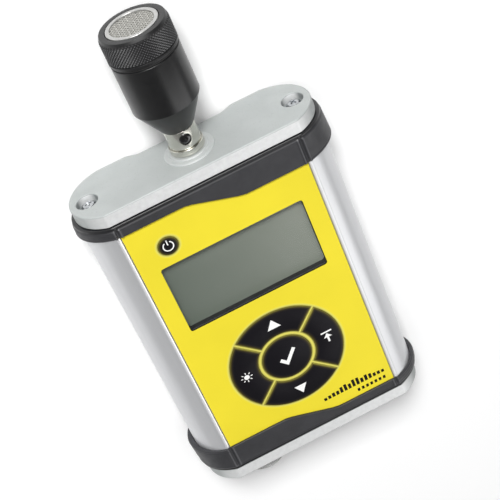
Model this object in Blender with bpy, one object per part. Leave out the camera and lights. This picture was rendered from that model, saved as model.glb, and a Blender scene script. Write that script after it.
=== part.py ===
"""A handheld sound level meter, as an assembly of separate pieces.

An extruded aluminium housing carries a front overlay with a display and six keys. A rubber bezel and a
cast end cap close each end. A microphone probe plugs into the top cap, and its knurled cap screws off. A
volume knob, a headphone jack and a charging port sit in the bottom cap. Boards and cells are inside.

Run it with: blender --background --python part.py

The meter lies on its back: +Z points out of the front panel and +Y towards the microphone. The backs of the
bezels are at z = 0, and the middle of the overall box is at x = y = 0. Every shape is drawn in the panel's
frame, whose origin is the centre of the front panel's surface. Lengths here are in millimetres, and become
metres where a mesh or an object is made.
"""

import math

import bmesh
import bpy

MM = 0.001
GAP = 0.3  # between pieces that touch
CUTTER_REACH = 90.0  # a cutter along Y that runs out past the end caps

# The panel's frame in the finished part.
PANEL_HEIGHT = 35.4  # panel surface above the bezel backs
PANEL_OFFSET_Y = -25.5  # panel centre from the middle of the overall length

# Section of the case, shared by the housing and the end caps. Each side is half an ellipse.
SIDE_X = 32.9
SIDE_Z = -15.6
SIDE_REACH = 19.6
SIDE_RISE = 17.8
CASE_FRONT = 0.4
CASE_BACK = -33.1
CHANNEL_FLOOR = -30.5
CHANNEL_HALF_WIDTH = 18.4
PAD_INNER_EDGE = 23.6
SIDE_STEPS = 20

# Lengths along the case, from the panel's centre towards either end.
HOUSING_END = 69.5
BEZEL_END = 71.8
CAP_START = BEZEL_END + GAP
CAP_END = 78.1
CAP_FILLET = 1.6
SPIGOT_START = 68.1
SPIGOT_FRONT = -5.0
SPIGOT_BACK = -25.1
SPIGOT_HALF_WIDTH = 40.1

# Front of the housing.
PANEL_HALF_WIDTH = 39.4
PANEL_HALF_LENGTH = 69.0
PANEL_THICKNESS = 1.0
RECESS_HALF_WIDTH = PANEL_HALF_WIDTH + GAP
RECESS_FLOOR = -PANEL_THICKNESS - GAP
CAVITY_FRONT = -3.3
CAVITY_BACK = -28.2
CAVITY_HALF_WIDTH = 40.5
CAVITY_RADIUS = 3.0
SLOT_HALF_WIDTH = 42.5

# Bezels.
BEZEL_FRONT = 1.3
BEZEL_BACK = -PANEL_HEIGHT
BEZEL_CREASE = 41.0
BEZEL_HALF_WIDTH_AT_CAP = 54.4
BEZEL_HALF_WIDTH_AT_BODY = 55.3
BEZEL_CHAMFER = 0.5
BEZEL_NARROW_EDGE = 66.0
BEZEL_WIDE_EDGE = 58.3
BEZEL_SLOPE_HALF_WIDTH = 11.2
BEZEL_FLANGE_OVERLAP = 5.0

# Display.
WINDOW_Y = 25.75
WINDOW_HALF_WIDTH = 31.6
WINDOW_HALF_HEIGHT = 17.45
WINDOW_RADIUS = 1.2
GASKET_WALL = 1.1

# Keys. The four outer keys are quarters of a ring round the centre key.
KEYPAD_Y = -26.9
KEYPAD_RADIUS = 25.8
KEYPAD_RIB_INNER = 11.3
KEYPAD_RIB_OUTER = 13.1
KEYPAD_SPOKE = 1.0
KEYPAD_ARC_STEPS = 14
KEY_FRONT = 0.4
KEY_BACK = -2.5
POWER_X = -24.4
POWER_Y = 52.2
POWER_RADIUS = 4.3
POWER_KEY_BACK = -4.6
KEY_EDGE = 0.3
KEY_HOLE_CLEARANCE = 0.6
DOME_RADIUS = 4.0

# Display stack, from the window back to the main board.
GASKET_BACK = -4.1
WINDOW_FRONT = -3.1
WINDOW_BACK = -3.9
GLASS_HALF_WIDTH = 34.5
GLASS_HALF_HEIGHT = 20.0
GLASS_FRONT = -4.4
GLASS_BACK = -5.5
BACKLIGHT_BACK = -7.5
LCD_FRAME_WALL = 1.5

# Boards.
BOARD_FRONT = -8.0
BOARD_BACK = -9.6
BOARD_LOW_END = -58.0
BOARD_HIGH_END = 65.0
KEYPAD_BOARD_FRONT = CAVITY_FRONT - GAP
KEYPAD_BOARD_BACK = -4.8
KEYPAD_BOARD_HALF_WIDTH = 37.0
KEYPAD_BOARD_HIGH_END = 2.9

# Screws of the end caps.
SCREW_X = 45.0
SCREW_Z = -14.8
COUNTERBORE_RADIUS = 4.6
COUNTERBORE_FLOOR = 74.6
SCREW_HOLE_RADIUS = 2.0
SCREW_RADIUS = 1.6
SCREW_TIP = 61.0
SCREW_HEAD_RADIUS = 3.2
SCREW_HEAD_FRONT = 76.9
SLOT_ARM = 1.7
SLOT_HALF_WEB = 0.35
SLOT_DEPTH = 1.1

# Microphone probe, on an axis along Y.
PROBE_Z = -15.5
PROBE_AT = (0, 0, PROBE_Z)
BOSS_RADIUS = 10.6
BOSS_END = 78.75
BOSS_STEP_RADIUS = 8.44
BOSS_STEP_END = 79.4
SOCKET_START = 62.0
SOCKET_RADIUS = 5.0
SOCKET_FLANGE_START = 65.8
SOCKET_FLANGE_RADIUS = 8.0
SOCKET_END = 88.0
SOCKET_BORE = 3.3
SOCKET_BORE_FLOOR = 76.0
NUT_START = 79.7
NUT_END = 82.3
NUT_RADIUS = 7.35
PLUG_TIP = 78.0
PLUG_RADIUS = 3.0
COLLAR_START = 82.6
COLLAR_END = 90.5
COLLAR_RADIUS = 6.63
GRUB_SCREW_Y = 86.9
GRUB_SCREW_RADIUS = 1.9
GRUB_SCREW_TOP = 6.5
BODY_START = 90.8
BODY_START_RADIUS = 6.9
BODY_RADIUS = 13.9
BODY_SHOULDER = 103.2
BODY_END = 124.7
BODY_BORE_FLOOR = 101.0
PREAMP_END = 118.5
CAPSULE_END = 133.4
CAPSULE_RADIUS = 9.2
SEAL_START = 125.0
SEAL_END = 125.6
SEAL_RADIUS = 13.3
NECK_RADIUS = 11.2
NECK_BORE = 9.6
NECK_END = 131.5
PROBE_CAP_START = 125.9
PROBE_CAP_RADIUS = 14.1
PROBE_CAP_KNURL_END = 133.3
PROBE_CAP_BAND_END = 135.2
PROBE_CAP_BAND_RADIUS = 14.18
PROBE_CAP_FACE_RADIUS = 13.26
PROBE_CAP_END = 137.4
PROBE_CAP_LIP_START = 133.0
GRILLE_OUTER = 10.6
GRILLE_INNER = 8.96
GRILLE_START = 134.0
GRILLE_END = 137.6
MESH_START = 136.3
MESH_END = 136.9
PROBE_SEGMENTS = 48

# Bottom cap: knob, jack and charging port.
CONTROL_Z = -15.5
KNOB_X = -27.2
KNOB_RADIUS = 9.3
KNOB_START = -78.7
KNOB_END = -86.6
KNOB_BORE_FLOOR = -84.3
POT_START = -60.5
POT_RADIUS = 8.0
POT_BORE_FLOOR = -65.2
BUSHING_RADIUS = 3.6
BUSHING_END = -78.3
SHAFT_RADIUS = 2.0
JACK_X = 8.0
JACK_START = -57.0
JACK_BODY_RADIUS = 5.0
JACK_RADIUS = 3.0
JACK_END = -80.0
JACK_BORE = 1.8
JACK_BORE_FLOOR = -60.0
JACK_NUT_RADIUS = 4.8
JACK_NUT_START = -78.4
JACK_NUT_END = -79.7
PORT_X = 30.0
PORT_START = -66.0
PORT_END = -78.0
PORT_SHELL = (4.5, 1.7)  # half width and half height
PORT_MOUTH = (4.1, 1.3)
PORT_MOUTH_FLOOR = -70.0
PORT_RADIUS = 0.6

# Cells and their tray.
CELL_RADIUS = 7.1
CELL_PITCH = 15.1
CELL_Z = -19.5
CELL_LOW_END = -50.5
CELL_HIGH_END = 0.0
CELL_BUTTON_RADIUS = 2.6
CELL_BUTTON_HEIGHT = 1.2
CONTACT_THICKNESS = 0.5
CONTACT_SPACE = 1.3  # from a cell's end to the tray's wall
CONTACT_BACK = -25.0
CONTACT_FRONT = -15.0
TRAY_WALL = 1.2
TRAY_FLOOR_BACK = -27.9
TRAY_RIM = -14.0

# Finishes: sRGB colour, roughness, metallic.
FINISHES = {
    "anodised": ((0.80, 0.80, 0.81), 0.38, 1.0),
    "cast_satin": ((0.77, 0.78, 0.78), 0.45, 0.6),
    "nickel": ((0.72, 0.71, 0.68), 0.22, 1.0),
    "bright_ring": ((0.84, 0.84, 0.83), 0.25, 1.0),
    "steel_mesh": ((0.62, 0.61, 0.60), 0.40, 1.0),
    "zinc_screw": ((0.70, 0.71, 0.72), 0.30, 1.0),
    "yellow_overlay": ((0.96, 0.89, 0.24), 0.45, 0.0),
    "black_key": ((0.12, 0.12, 0.11), 0.50, 0.0),
    "bezel_rubber": ((0.26, 0.26, 0.27), 0.60, 0.0),
    "black_anodised": ((0.16, 0.16, 0.17), 0.35, 0.4),
    "black_plastic": ((0.07, 0.07, 0.07), 0.50, 0.0),
    "foam": ((0.10, 0.10, 0.10), 0.95, 0.0),
    "clear": ((0.90, 0.93, 0.92), 0.10, 0.0),
    "lcd": ((0.52, 0.55, 0.50), 0.30, 0.0),
    "board": ((0.10, 0.32, 0.18), 0.50, 0.0),
    "white_plastic": ((0.85, 0.85, 0.82), 0.50, 0.0),
    "cell_wrap": ((0.20, 0.34, 0.55), 0.40, 0.0),
}


# ---- outlines -------------------------------------------------------------------------------------


def arc(radius, start, end, steps, centre=(0.0, 0.0), rise=None):
    """Points on an arc, with angles in degrees. With rise it is an arc of an ellipse of that half height."""
    rise = radius if rise is None else rise
    points = []
    for step in range(steps + 1):
        angle = math.radians(start + (end - start) * step / steps)
        points.append((centre[0] + radius * math.cos(angle), centre[1] + rise * math.sin(angle)))
    return points


def circle(radius, segments, centre=(0.0, 0.0)):
    return arc(radius, 0, 360 * (segments - 1) / segments, segments - 1, centre)


def rounded_rectangle(half_width, half_height, radius, centre=(0.0, 0.0), steps=4):
    points = []
    for corner, (side, end) in enumerate(((1, 1), (-1, 1), (-1, -1), (1, -1))):
        middle = (centre[0] + side * (half_width - radius), centre[1] + end * (half_height - radius))
        points += arc(radius, 90 * corner, 90 * corner + 90, steps, middle)
    return points


def rectangle(low, high):
    return [(low[0], low[1]), (high[0], low[1]), (high[0], high[1]), (low[0], high[1])]


def mirrored(points):
    """The same points on the other side of x = 0, in the order that closes the outline."""
    return [(-x, y) for x, y in reversed(points)]


def case_half_outline(grow):
    """Right half of the case section, from the front flat to the channel in the back."""
    front = CASE_FRONT + grow
    back = CASE_BACK - grow
    rise = SIDE_RISE + grow
    start = math.degrees(math.asin((front - SIDE_Z) / rise))
    end = math.degrees(math.asin((back - SIDE_Z) / rise))
    wall_slope = math.atan2(CHANNEL_FLOOR - CASE_BACK, PAD_INNER_EDGE - CHANNEL_HALF_WIDTH)
    shift = grow * math.tan(wall_slope / 2)
    points = arc(SIDE_REACH + grow, start, end, SIDE_STEPS, (SIDE_X, SIDE_Z), rise)
    points.append((PAD_INNER_EDGE - shift, back))
    points.append((CHANNEL_HALF_WIDTH - shift, CHANNEL_FLOOR - grow))
    return points


def case_outline(grow=0.0):
    half = case_half_outline(grow)
    return half + mirrored(half)


def housing_outline():
    """The case section with the recess that holds the overlay, between two lips."""
    recess = [(RECESS_HALF_WIDTH, RECESS_FLOOR), (RECESS_HALF_WIDTH, CASE_FRONT)]
    half = recess + case_half_outline(0.0)
    return half + mirrored(half)


def housing_clearance_outline():
    """What a bezel leaves free for the housing and for the overlay in its recess."""
    overlay = [(PANEL_HALF_WIDTH, GAP), (PANEL_HALF_WIDTH, CASE_FRONT + GAP)]
    half = overlay + case_half_outline(GAP)
    return half + mirrored(half)


def cavity_outline():
    """Inside of the housing, with a slot in each side wall for the main board."""
    corner = (CAVITY_HALF_WIDTH - CAVITY_RADIUS, CAVITY_FRONT - CAVITY_RADIUS)
    half = arc(CAVITY_RADIUS, 90, 0, 4, corner)
    half += [
        (CAVITY_HALF_WIDTH, BOARD_FRONT + GAP),
        (SLOT_HALF_WIDTH, BOARD_FRONT + GAP),
        (SLOT_HALF_WIDTH, BOARD_BACK - GAP),
        (CAVITY_HALF_WIDTH, BOARD_BACK - GAP),
    ]
    half += arc(CAVITY_RADIUS, 0, -90, 4, (corner[0], CAVITY_BACK + CAVITY_RADIUS))
    return half + mirrored(half)


def bezel_outline(half_width):
    """Outside of a bezel. The front is flat up to the crease, and the back is flat to lie on."""
    reach = half_width - SIDE_X
    crease = math.acos((BEZEL_CREASE - SIDE_X) / reach)
    front_rise = (BEZEL_FRONT - SIDE_Z) / math.sin(crease)
    half_steps = SIDE_STEPS // 2
    half = arc(reach, math.degrees(crease), 0, half_steps, (SIDE_X, SIDE_Z), front_rise)
    half += arc(reach, 0, -90, half_steps, (SIDE_X, SIDE_Z), SIDE_Z - BEZEL_BACK)[1:]
    return half + mirrored(half)


def key_sector(inner, outer, half_spoke, direction):
    """A quarter of a ring that faces the given direction, half_spoke clear of the two diagonals."""
    outer_half = 45 - math.degrees(math.asin(half_spoke / outer))
    inner_half = 45 - math.degrees(math.asin(half_spoke / inner))
    points = arc(outer, direction - outer_half, direction + outer_half, KEYPAD_ARC_STEPS)
    points += arc(inner, direction + inner_half, direction - inner_half, KEYPAD_ARC_STEPS)
    return points


# ---- meshes ---------------------------------------------------------------------------------------


def loft(rings, looped=False):
    """A closed mesh through rings of equal length. Looped, the last ring joins the first one."""
    shape = bmesh.new()
    loops = [[shape.verts.new([value * MM for value in point]) for point in ring] for ring in rings]
    pairs = list(zip(loops, loops[1:]))
    if looped:
        pairs.append((loops[-1], loops[0]))
    for low, high in pairs:
        for index in range(len(low)):
            after = (index + 1) % len(low)
            shape.faces.new((low[index], low[after], high[after], high[index]))
    if not looped:
        shape.faces.new(loops[0])
        shape.faces.new(loops[-1])
    return shape


def prism_along_y(outline, low, high):
    """An (x, z) outline drawn out along Y."""
    return loft([[(x, y, z) for x, z in outline] for y in (low, high)])


def prism_along_z(outline, low, high):
    """An (x, y) outline drawn out along Z."""
    return loft([[(x, y, z) for x, y in outline] for z in (low, high)])


def block(low, high):
    return prism_along_z(rectangle(low[:2], high[:2]), low[2], high[2])


def turned(profile, segments=PROBE_SEGMENTS):
    """A solid turned about the Y axis from (radius, y) points.

    A profile that starts and ends on the axis is solid there, and any other one closes on itself as a ring.
    """
    solid = profile[0][0] == 0 and profile[-1][0] == 0
    rings = []
    for radius, along in profile:
        rings.append([(x, along, z) for x, z in circle(radius, segments)])
    return loft(rings, looped=not solid)


def turned_upright(profile, segments):
    """The same about the Z axis, from (radius, z) points."""
    shape = turned(profile, segments)
    for vertex in shape.verts:
        vertex.co.yz = (-vertex.co.z, vertex.co.y)
    return shape


def rod(radius, low, high, segments):
    """A plain rod along the Y axis."""
    return turned([(0, low), (radius, low), (radius, high), (0, high)], segments)


def upright_rod(radius, low, high, segments):
    return turned_upright([(0, low), (radius, low), (radius, high), (0, high)], segments)


# ---- objects --------------------------------------------------------------------------------------


def linear(channel):
    """An sRGB channel as the linear value that a shader takes."""
    return channel / 12.92 if channel <= 0.04045 else ((channel + 0.055) / 1.055) ** 2.4


def finish_material(name, finish):
    colour, roughness, metallic = FINISHES[finish]
    made = bpy.data.materials.new(f"{name}_{finish}")
    made.use_nodes = True
    shader = made.node_tree.nodes["Principled BSDF"]
    shader.inputs["Base Color"].default_value = (*[linear(channel) for channel in colour], 1.0)
    shader.inputs["Roughness"].default_value = roughness
    shader.inputs["Metallic"].default_value = metallic
    return made


def object_from(name, shape, at=(0.0, 0.0, 0.0)):
    """Turns a bmesh into an object under the meter's frame, with its origin at the given place."""
    bmesh.ops.remove_doubles(shape, verts=shape.verts, dist=1e-7)
    bmesh.ops.recalc_face_normals(shape, faces=shape.faces)
    # A flared side's quads aren't flat, which upsets Booleans.
    bmesh.ops.triangulate(shape, faces=shape.faces)
    mesh = bpy.data.meshes.new(name)
    shape.to_mesh(mesh)
    shape.free()
    mesh.shade_smooth()
    mesh.set_sharp_from_angle(angle=math.radians(30))
    made = bpy.data.objects.new(name, mesh)
    made.location = [value * MM for value in at]
    made.parent = bpy.data.objects["meter_frame"]
    bpy.context.scene.collection.objects.link(made)
    return made


def piece(name, finish, shape, at=(0.0, 0.0, 0.0)):
    """One piece of the meter: a node of its own."""
    made = object_from(name, shape, at)
    made.data.materials.append(finish_material(name, finish))
    return made


def combine(target, operation, helper_name, shape, at=(0.0, 0.0, 0.0)):
    """Cuts a shape from the target, or joins it on, with a Boolean modifier and a hidden helper."""
    helper = object_from(helper_name, shape, at)
    helper.hide_render = True
    helper.display_type = "WIRE"
    modifier = target.modifiers.new(helper_name, "BOOLEAN")
    modifier.operation = operation
    modifier.object = helper


def cut(target, helper_name, shape, at=(0.0, 0.0, 0.0)):
    combine(target, "DIFFERENCE", helper_name, shape, at)


def join(target, helper_name, shape, at=(0.0, 0.0, 0.0)):
    combine(target, "UNION", helper_name, shape, at)


# ---- case -----------------------------------------------------------------------------------------


def window_shape(grow, low, high):
    outline = rounded_rectangle(
        WINDOW_HALF_WIDTH + grow, WINDOW_HALF_HEIGHT + grow, WINDOW_RADIUS + max(grow, 0), (0, WINDOW_Y)
    )
    return prism_along_z(outline, low, high)


def screw_places():
    for end in (1, -1):
        for side in (1, -1):
            yield end, side


def make_housing():
    housing = piece("housing", "anodised", prism_along_y(housing_outline(), -HOUSING_END, HOUSING_END))
    cut(housing, "cavity_cutter", prism_along_y(cavity_outline(), -CUTTER_REACH, CUTTER_REACH))
    deck = (CAVITY_FRONT - 1, CASE_FRONT + 1)
    cut(housing, "deck_window_cutter", window_shape(GASKET_WALL + GAP, *deck))
    keypad_hole = upright_rod(KEYPAD_RADIUS + KEY_HOLE_CLEARANCE, *deck, 56)
    cut(housing, "deck_keypad_cutter", keypad_hole, (0, KEYPAD_Y, 0))
    power_hole = upright_rod(POWER_RADIUS + KEY_HOLE_CLEARANCE, *deck, 24)
    cut(housing, "deck_power_cutter", power_hole, (POWER_X, POWER_Y, 0))
    for end, side in screw_places():
        hole = rod(SCREW_HOLE_RADIUS, end * (SCREW_TIP - 2), end * CUTTER_REACH, 16)
        cut(housing, f"housing_screw_cutter_{end}_{side}", hole, (side * SCREW_X, 0, SCREW_Z))


def make_bezel(name, end):
    """One bezel. Both are the same moulding, turned half a turn about Z for the other end."""

    def ring(outline, along):
        return [(end * x, end * along, z) for x, z in outline]

    body_side = BEZEL_WIDE_EDGE - 2
    flare = (BEZEL_HALF_WIDTH_AT_BODY - BEZEL_HALF_WIDTH_AT_CAP) / (BEZEL_END - BEZEL_WIDE_EDGE)
    blank = loft([
        ring(bezel_outline(BEZEL_HALF_WIDTH_AT_CAP + flare * (BEZEL_END - body_side)), body_side),
        ring(bezel_outline(BEZEL_HALF_WIDTH_AT_CAP), BEZEL_END - BEZEL_CHAMFER),
        ring(bezel_outline(BEZEL_HALF_WIDTH_AT_CAP - BEZEL_CHAMFER), BEZEL_END),
    ])
    bezel = piece(name, "bezel_rubber", blank)
    side = BEZEL_HALF_WIDTH_AT_BODY + 10
    inner = body_side - 10
    edge = [
        (-side, inner), (side, inner), (side, BEZEL_WIDE_EDGE), (BEZEL_SLOPE_HALF_WIDTH, BEZEL_WIDE_EDGE),
        (-BEZEL_SLOPE_HALF_WIDTH, BEZEL_NARROW_EDGE), (-side, BEZEL_NARROW_EDGE),
    ]
    edge_cutter = prism_along_z([(end * x, end * y) for x, y in edge], BEZEL_BACK - 10, BEZEL_FRONT + 10)
    cut(bezel, f"{name}_edge_cutter", edge_cutter)
    clearance = loft([ring(housing_clearance_outline(), along) for along in (inner, HOUSING_END + GAP)])
    cut(bezel, f"{name}_housing_cutter", clearance)
    opening = loft([ring(case_outline(-BEZEL_FLANGE_OVERLAP), along) for along in (inner, CUTTER_REACH)])
    cut(bezel, f"{name}_opening_cutter", opening)


def cap_blank(end):
    """An end cap's plate, with a rounded edge round its outer face."""
    rings = [[(x, end * CAP_START, z) for x, z in case_outline()]]
    for angle in (0, 30, 60, 90):
        inset = CAP_FILLET * (1 - math.cos(math.radians(angle)))
        along = CAP_END - CAP_FILLET + CAP_FILLET * math.sin(math.radians(angle))
        rings.append([(x, end * along, z) for x, z in case_outline(-inset)])
    return loft(rings)


def make_cap(name, end):
    cap = piece(name, "cast_satin", cap_blank(end))
    middle = (SPIGOT_FRONT + SPIGOT_BACK) / 2
    half_height = (SPIGOT_FRONT - SPIGOT_BACK) / 2
    spigot = rounded_rectangle(SPIGOT_HALF_WIDTH, half_height, CAVITY_RADIUS, (0, middle))
    join(cap, f"{name}_spigot", prism_along_y(spigot, end * SPIGOT_START, end * (CAP_START + 1)))
    for side in (1, -1):
        place = (side * SCREW_X, 0, SCREW_Z)
        counterbore = rod(COUNTERBORE_RADIUS, end * COUNTERBORE_FLOOR, end * CUTTER_REACH, 32)
        cut(cap, f"{name}_counterbore_{side}", counterbore, place)
        hole = rod(SCREW_HOLE_RADIUS, end * (SPIGOT_START - 3), end * (COUNTERBORE_FLOOR + 1), 16)
        cut(cap, f"{name}_screw_cutter_{side}", hole, place)
    return cap


def make_top_cap():
    """The top cap has a stepped boss round the probe's socket."""
    cap = make_cap("top_cap", 1)
    root = CAP_END - 2.6
    boss = turned([(0, root), (BOSS_RADIUS, root), (BOSS_RADIUS, BOSS_END), (BOSS_STEP_RADIUS, BOSS_END),
                   (BOSS_STEP_RADIUS, BOSS_STEP_END), (0, BOSS_STEP_END)], 48)
    join(cap, "top_cap_boss", boss, PROBE_AT)
    hole = rod(SOCKET_RADIUS + GAP, SPIGOT_START - 1, CUTTER_REACH, 32)
    cut(cap, "top_cap_socket_cutter", hole, PROBE_AT)


def make_bottom_cap():
    """The bottom cap has holes for the volume knob's bushing, the jack and the charging port."""
    cap = make_cap("bottom_cap", -1)
    through = (-SPIGOT_START + 1, -CUTTER_REACH)
    for name, x, radius in (("bushing", KNOB_X, BUSHING_RADIUS), ("jack", JACK_X, JACK_RADIUS)):
        cut(cap, f"bottom_cap_{name}_cutter", rod(radius + GAP, *through, 24), (x, 0, CONTROL_Z))
    width, height = PORT_SHELL
    port = rounded_rectangle(width + GAP, height + GAP, PORT_RADIUS, (PORT_X, CONTROL_Z), 2)
    cut(cap, "bottom_cap_port_cutter", prism_along_y(port, *through))


def cross_outline(arm, web):
    """A plus sign, for the drive of a cross-head screw."""
    return [(web, web), (web, arm), (-web, arm), (-web, web), (-arm, web), (-arm, -web),
            (-web, -web), (-web, -arm), (web, -arm), (web, -web), (arm, -web), (arm, web)]


def make_case_screws():
    """Four cross-head screws, each its own piece, turned about its own axis."""
    shoulder = COUNTERBORE_FLOOR + GAP
    profile = [(0, SCREW_TIP), (SCREW_RADIUS - 0.5, SCREW_TIP), (SCREW_RADIUS, SCREW_TIP + 1),
               (SCREW_RADIUS, shoulder), (SCREW_HEAD_RADIUS, shoulder),
               (SCREW_HEAD_RADIUS, SCREW_HEAD_FRONT - 0.8), (SCREW_HEAD_RADIUS - 0.8, SCREW_HEAD_FRONT - 0.1),
               (0, SCREW_HEAD_FRONT)]
    cross = cross_outline(SLOT_ARM, SLOT_HALF_WEB)
    for number, (end, side) in enumerate(screw_places(), 1):
        place = (side * SCREW_X, 0, SCREW_Z)
        shape = turned([(radius, end * along) for radius, along in profile], 20)
        screw = piece(f"case_screw_{number}", "zinc_screw", shape, place)
        slot = prism_along_y(cross, end * (SCREW_HEAD_FRONT - SLOT_DEPTH), end * CUTTER_REACH)
        cut(screw, f"case_screw_{number}_slot", slot, place)


# ---- front ----------------------------------------------------------------------------------------

KEY_DIRECTIONS = {"key_right": 0, "key_up": 90, "key_left": 180, "key_down": 270}


def make_overlay():
    sheet = rounded_rectangle(PANEL_HALF_WIDTH, PANEL_HALF_LENGTH, 1.0)
    overlay = piece("front_overlay", "yellow_overlay", prism_along_z(sheet, -PANEL_THICKNESS, 0))
    through = (-PANEL_THICKNESS - 2, 3)
    cut(overlay, "overlay_window_cutter", window_shape(0, *through))
    keypad_at = (0, KEYPAD_Y, 0)
    for name, direction in KEY_DIRECTIONS.items():
        outline = key_sector(KEYPAD_RIB_OUTER, KEYPAD_RADIUS, KEYPAD_SPOKE / 2, direction)
        cut(overlay, f"overlay_{name}_cutter", prism_along_z(outline, *through), keypad_at)
    center = prism_along_z(circle(KEYPAD_RIB_INNER, 40), *through)
    cut(overlay, "overlay_key_center_cutter", center, keypad_at)
    power = prism_along_z(circle(POWER_RADIUS, 28), *through)
    cut(overlay, "overlay_power_cutter", power, (POWER_X, POWER_Y, 0))


def key_with_edge(outline_at, back):
    """A key from its outline as a function of inset, with a chamfer round its front face."""
    levels = ((0, back), (0, KEY_FRONT - KEY_EDGE), (KEY_EDGE, KEY_FRONT))
    return loft([[(x, y, z) for x, y in outline_at(inset)] for inset, z in levels])


def make_keys():
    """Six keys. Each slides back along Z from its rest place."""
    for name, direction in KEY_DIRECTIONS.items():

        def outline_at(inset, direction=direction):
            clear = GAP + inset
            return key_sector(
                KEYPAD_RIB_OUTER + clear, KEYPAD_RADIUS - clear, KEYPAD_SPOKE / 2 + clear, direction
            )

        piece(name, "black_key", key_with_edge(outline_at, KEY_BACK), (0, KEYPAD_Y, 0))
    center = key_with_edge(lambda inset: circle(KEYPAD_RIB_INNER - GAP - inset, 40), KEY_BACK)
    piece("key_center", "black_key", center, (0, KEYPAD_Y, 0))
    power = key_with_edge(lambda inset: circle(POWER_RADIUS - GAP - inset, 28), POWER_KEY_BACK)
    piece("key_power", "black_key", power, (POWER_X, POWER_Y, 0))


def make_domes():
    """A metal snap dome behind each key of the keypad, which gives it its click."""
    rim = KEYPAD_BOARD_FRONT + GAP
    middle = (KEYPAD_RIB_OUTER + KEYPAD_RADIUS) / 2
    places = {"dome_center": (0, KEYPAD_Y)}
    for name, direction in KEY_DIRECTIONS.items():
        angle = math.radians(direction)
        places[name.replace("key", "dome")] = (middle * math.cos(angle), KEYPAD_Y + middle * math.sin(angle))
    for name, (x, y) in places.items():
        profile = [(0, rim), (DOME_RADIUS, rim), (DOME_RADIUS - 0.8, rim + 0.3), (0, rim + 0.4)]
        dome = turned_upright(profile, 20)
        piece(name, "zinc_screw", dome, (x, y, 0))


def frame_shape(inner, outer, radius, centre_y, low, high):
    """A rectangular frame: a loop of four levels through its inner and outer walls."""
    loops = []
    for size, level in ((inner, low), (outer, low), (outer, high), (inner, high)):
        corner = radius + size[0] - inner[0]
        outline = rounded_rectangle(size[0], size[1], corner, (0, centre_y), 3)
        loops.append([(x, y, level) for x, y in outline])
    return loft(loops, looped=True)


def make_display():
    """The window lies in a gasket, and the display with its light guide sits in a frame behind them."""
    inner = (WINDOW_HALF_WIDTH, WINDOW_HALF_HEIGHT)
    outer = (WINDOW_HALF_WIDTH + GASKET_WALL, WINDOW_HALF_HEIGHT + GASKET_WALL)
    gasket = frame_shape(inner, outer, WINDOW_RADIUS, WINDOW_Y, GASKET_BACK, RECESS_FLOOR)
    piece("display_gasket", "black_plastic", gasket)
    piece("display_window", "clear", window_shape(-GAP, WINDOW_BACK, WINDOW_FRONT))
    low = (-GLASS_HALF_WIDTH, WINDOW_Y - GLASS_HALF_HEIGHT)
    high = (GLASS_HALF_WIDTH, WINDOW_Y + GLASS_HALF_HEIGHT)
    piece("lcd_glass", "lcd", block((*low, GLASS_BACK), (*high, GLASS_FRONT)))
    piece("lcd_backlight", "white_plastic", block((*low, BACKLIGHT_BACK), (*high, GLASS_BACK - GAP)))
    clear = (GLASS_HALF_WIDTH + GAP, GLASS_HALF_HEIGHT + GAP)
    rim = (clear[0] + LCD_FRAME_WALL, clear[1] + LCD_FRAME_WALL)
    frame = frame_shape(clear, rim, 0.2, WINDOW_Y, BOARD_FRONT + GAP, GLASS_FRONT)
    piece("lcd_frame", "black_plastic", frame)


def make_boards():
    half = SLOT_HALF_WIDTH - GAP
    main_board = block((-half, BOARD_LOW_END, BOARD_BACK), (half, BOARD_HIGH_END, BOARD_FRONT))
    piece("main_board", "board", main_board)
    half = KEYPAD_BOARD_HALF_WIDTH
    keypad_board = block((-half, BOARD_LOW_END, KEYPAD_BOARD_BACK),
                         (half, KEYPAD_BOARD_HIGH_END, KEYPAD_BOARD_FRONT))
    piece("keypad_board", "board", keypad_board)
    on_board = BOARD_FRONT + GAP
    connector = block((-12, BOARD_LOW_END + 2, on_board), (12, BOARD_LOW_END + 6, KEYPAD_BOARD_BACK - GAP))
    piece("board_connector", "black_plastic", connector)
    switch = block((POWER_X - 3, POWER_Y - 3, on_board), (POWER_X + 3, POWER_Y + 3, POWER_KEY_BACK - 0.6))
    piece("power_switch", "black_plastic", switch)


# ---- microphone probe -----------------------------------------------------------------------------

def make_socket():
    """Fixed half of the probe's connector: a tube through the top cap and the ring nut that holds it."""
    flange_end = SPIGOT_START - GAP
    socket = [(0, SOCKET_START), (SOCKET_RADIUS, SOCKET_START), (SOCKET_RADIUS, SOCKET_FLANGE_START),
              (SOCKET_FLANGE_RADIUS, SOCKET_FLANGE_START), (SOCKET_FLANGE_RADIUS, flange_end),
              (SOCKET_RADIUS, flange_end), (SOCKET_RADIUS, SOCKET_END), (SOCKET_BORE, SOCKET_END),
              (SOCKET_BORE, SOCKET_BORE_FLOOR), (0, SOCKET_BORE_FLOOR)]
    piece("sensor_socket", "nickel", turned(socket, 32), PROBE_AT)
    bore = SOCKET_RADIUS + GAP
    nut = [(bore, NUT_START), (NUT_RADIUS, NUT_START), (NUT_RADIUS, NUT_END - 0.3),
           (NUT_RADIUS - 0.25, NUT_END), (bore, NUT_END)]
    piece("socket_nut", "nickel", turned(nut), PROBE_AT)


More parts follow.
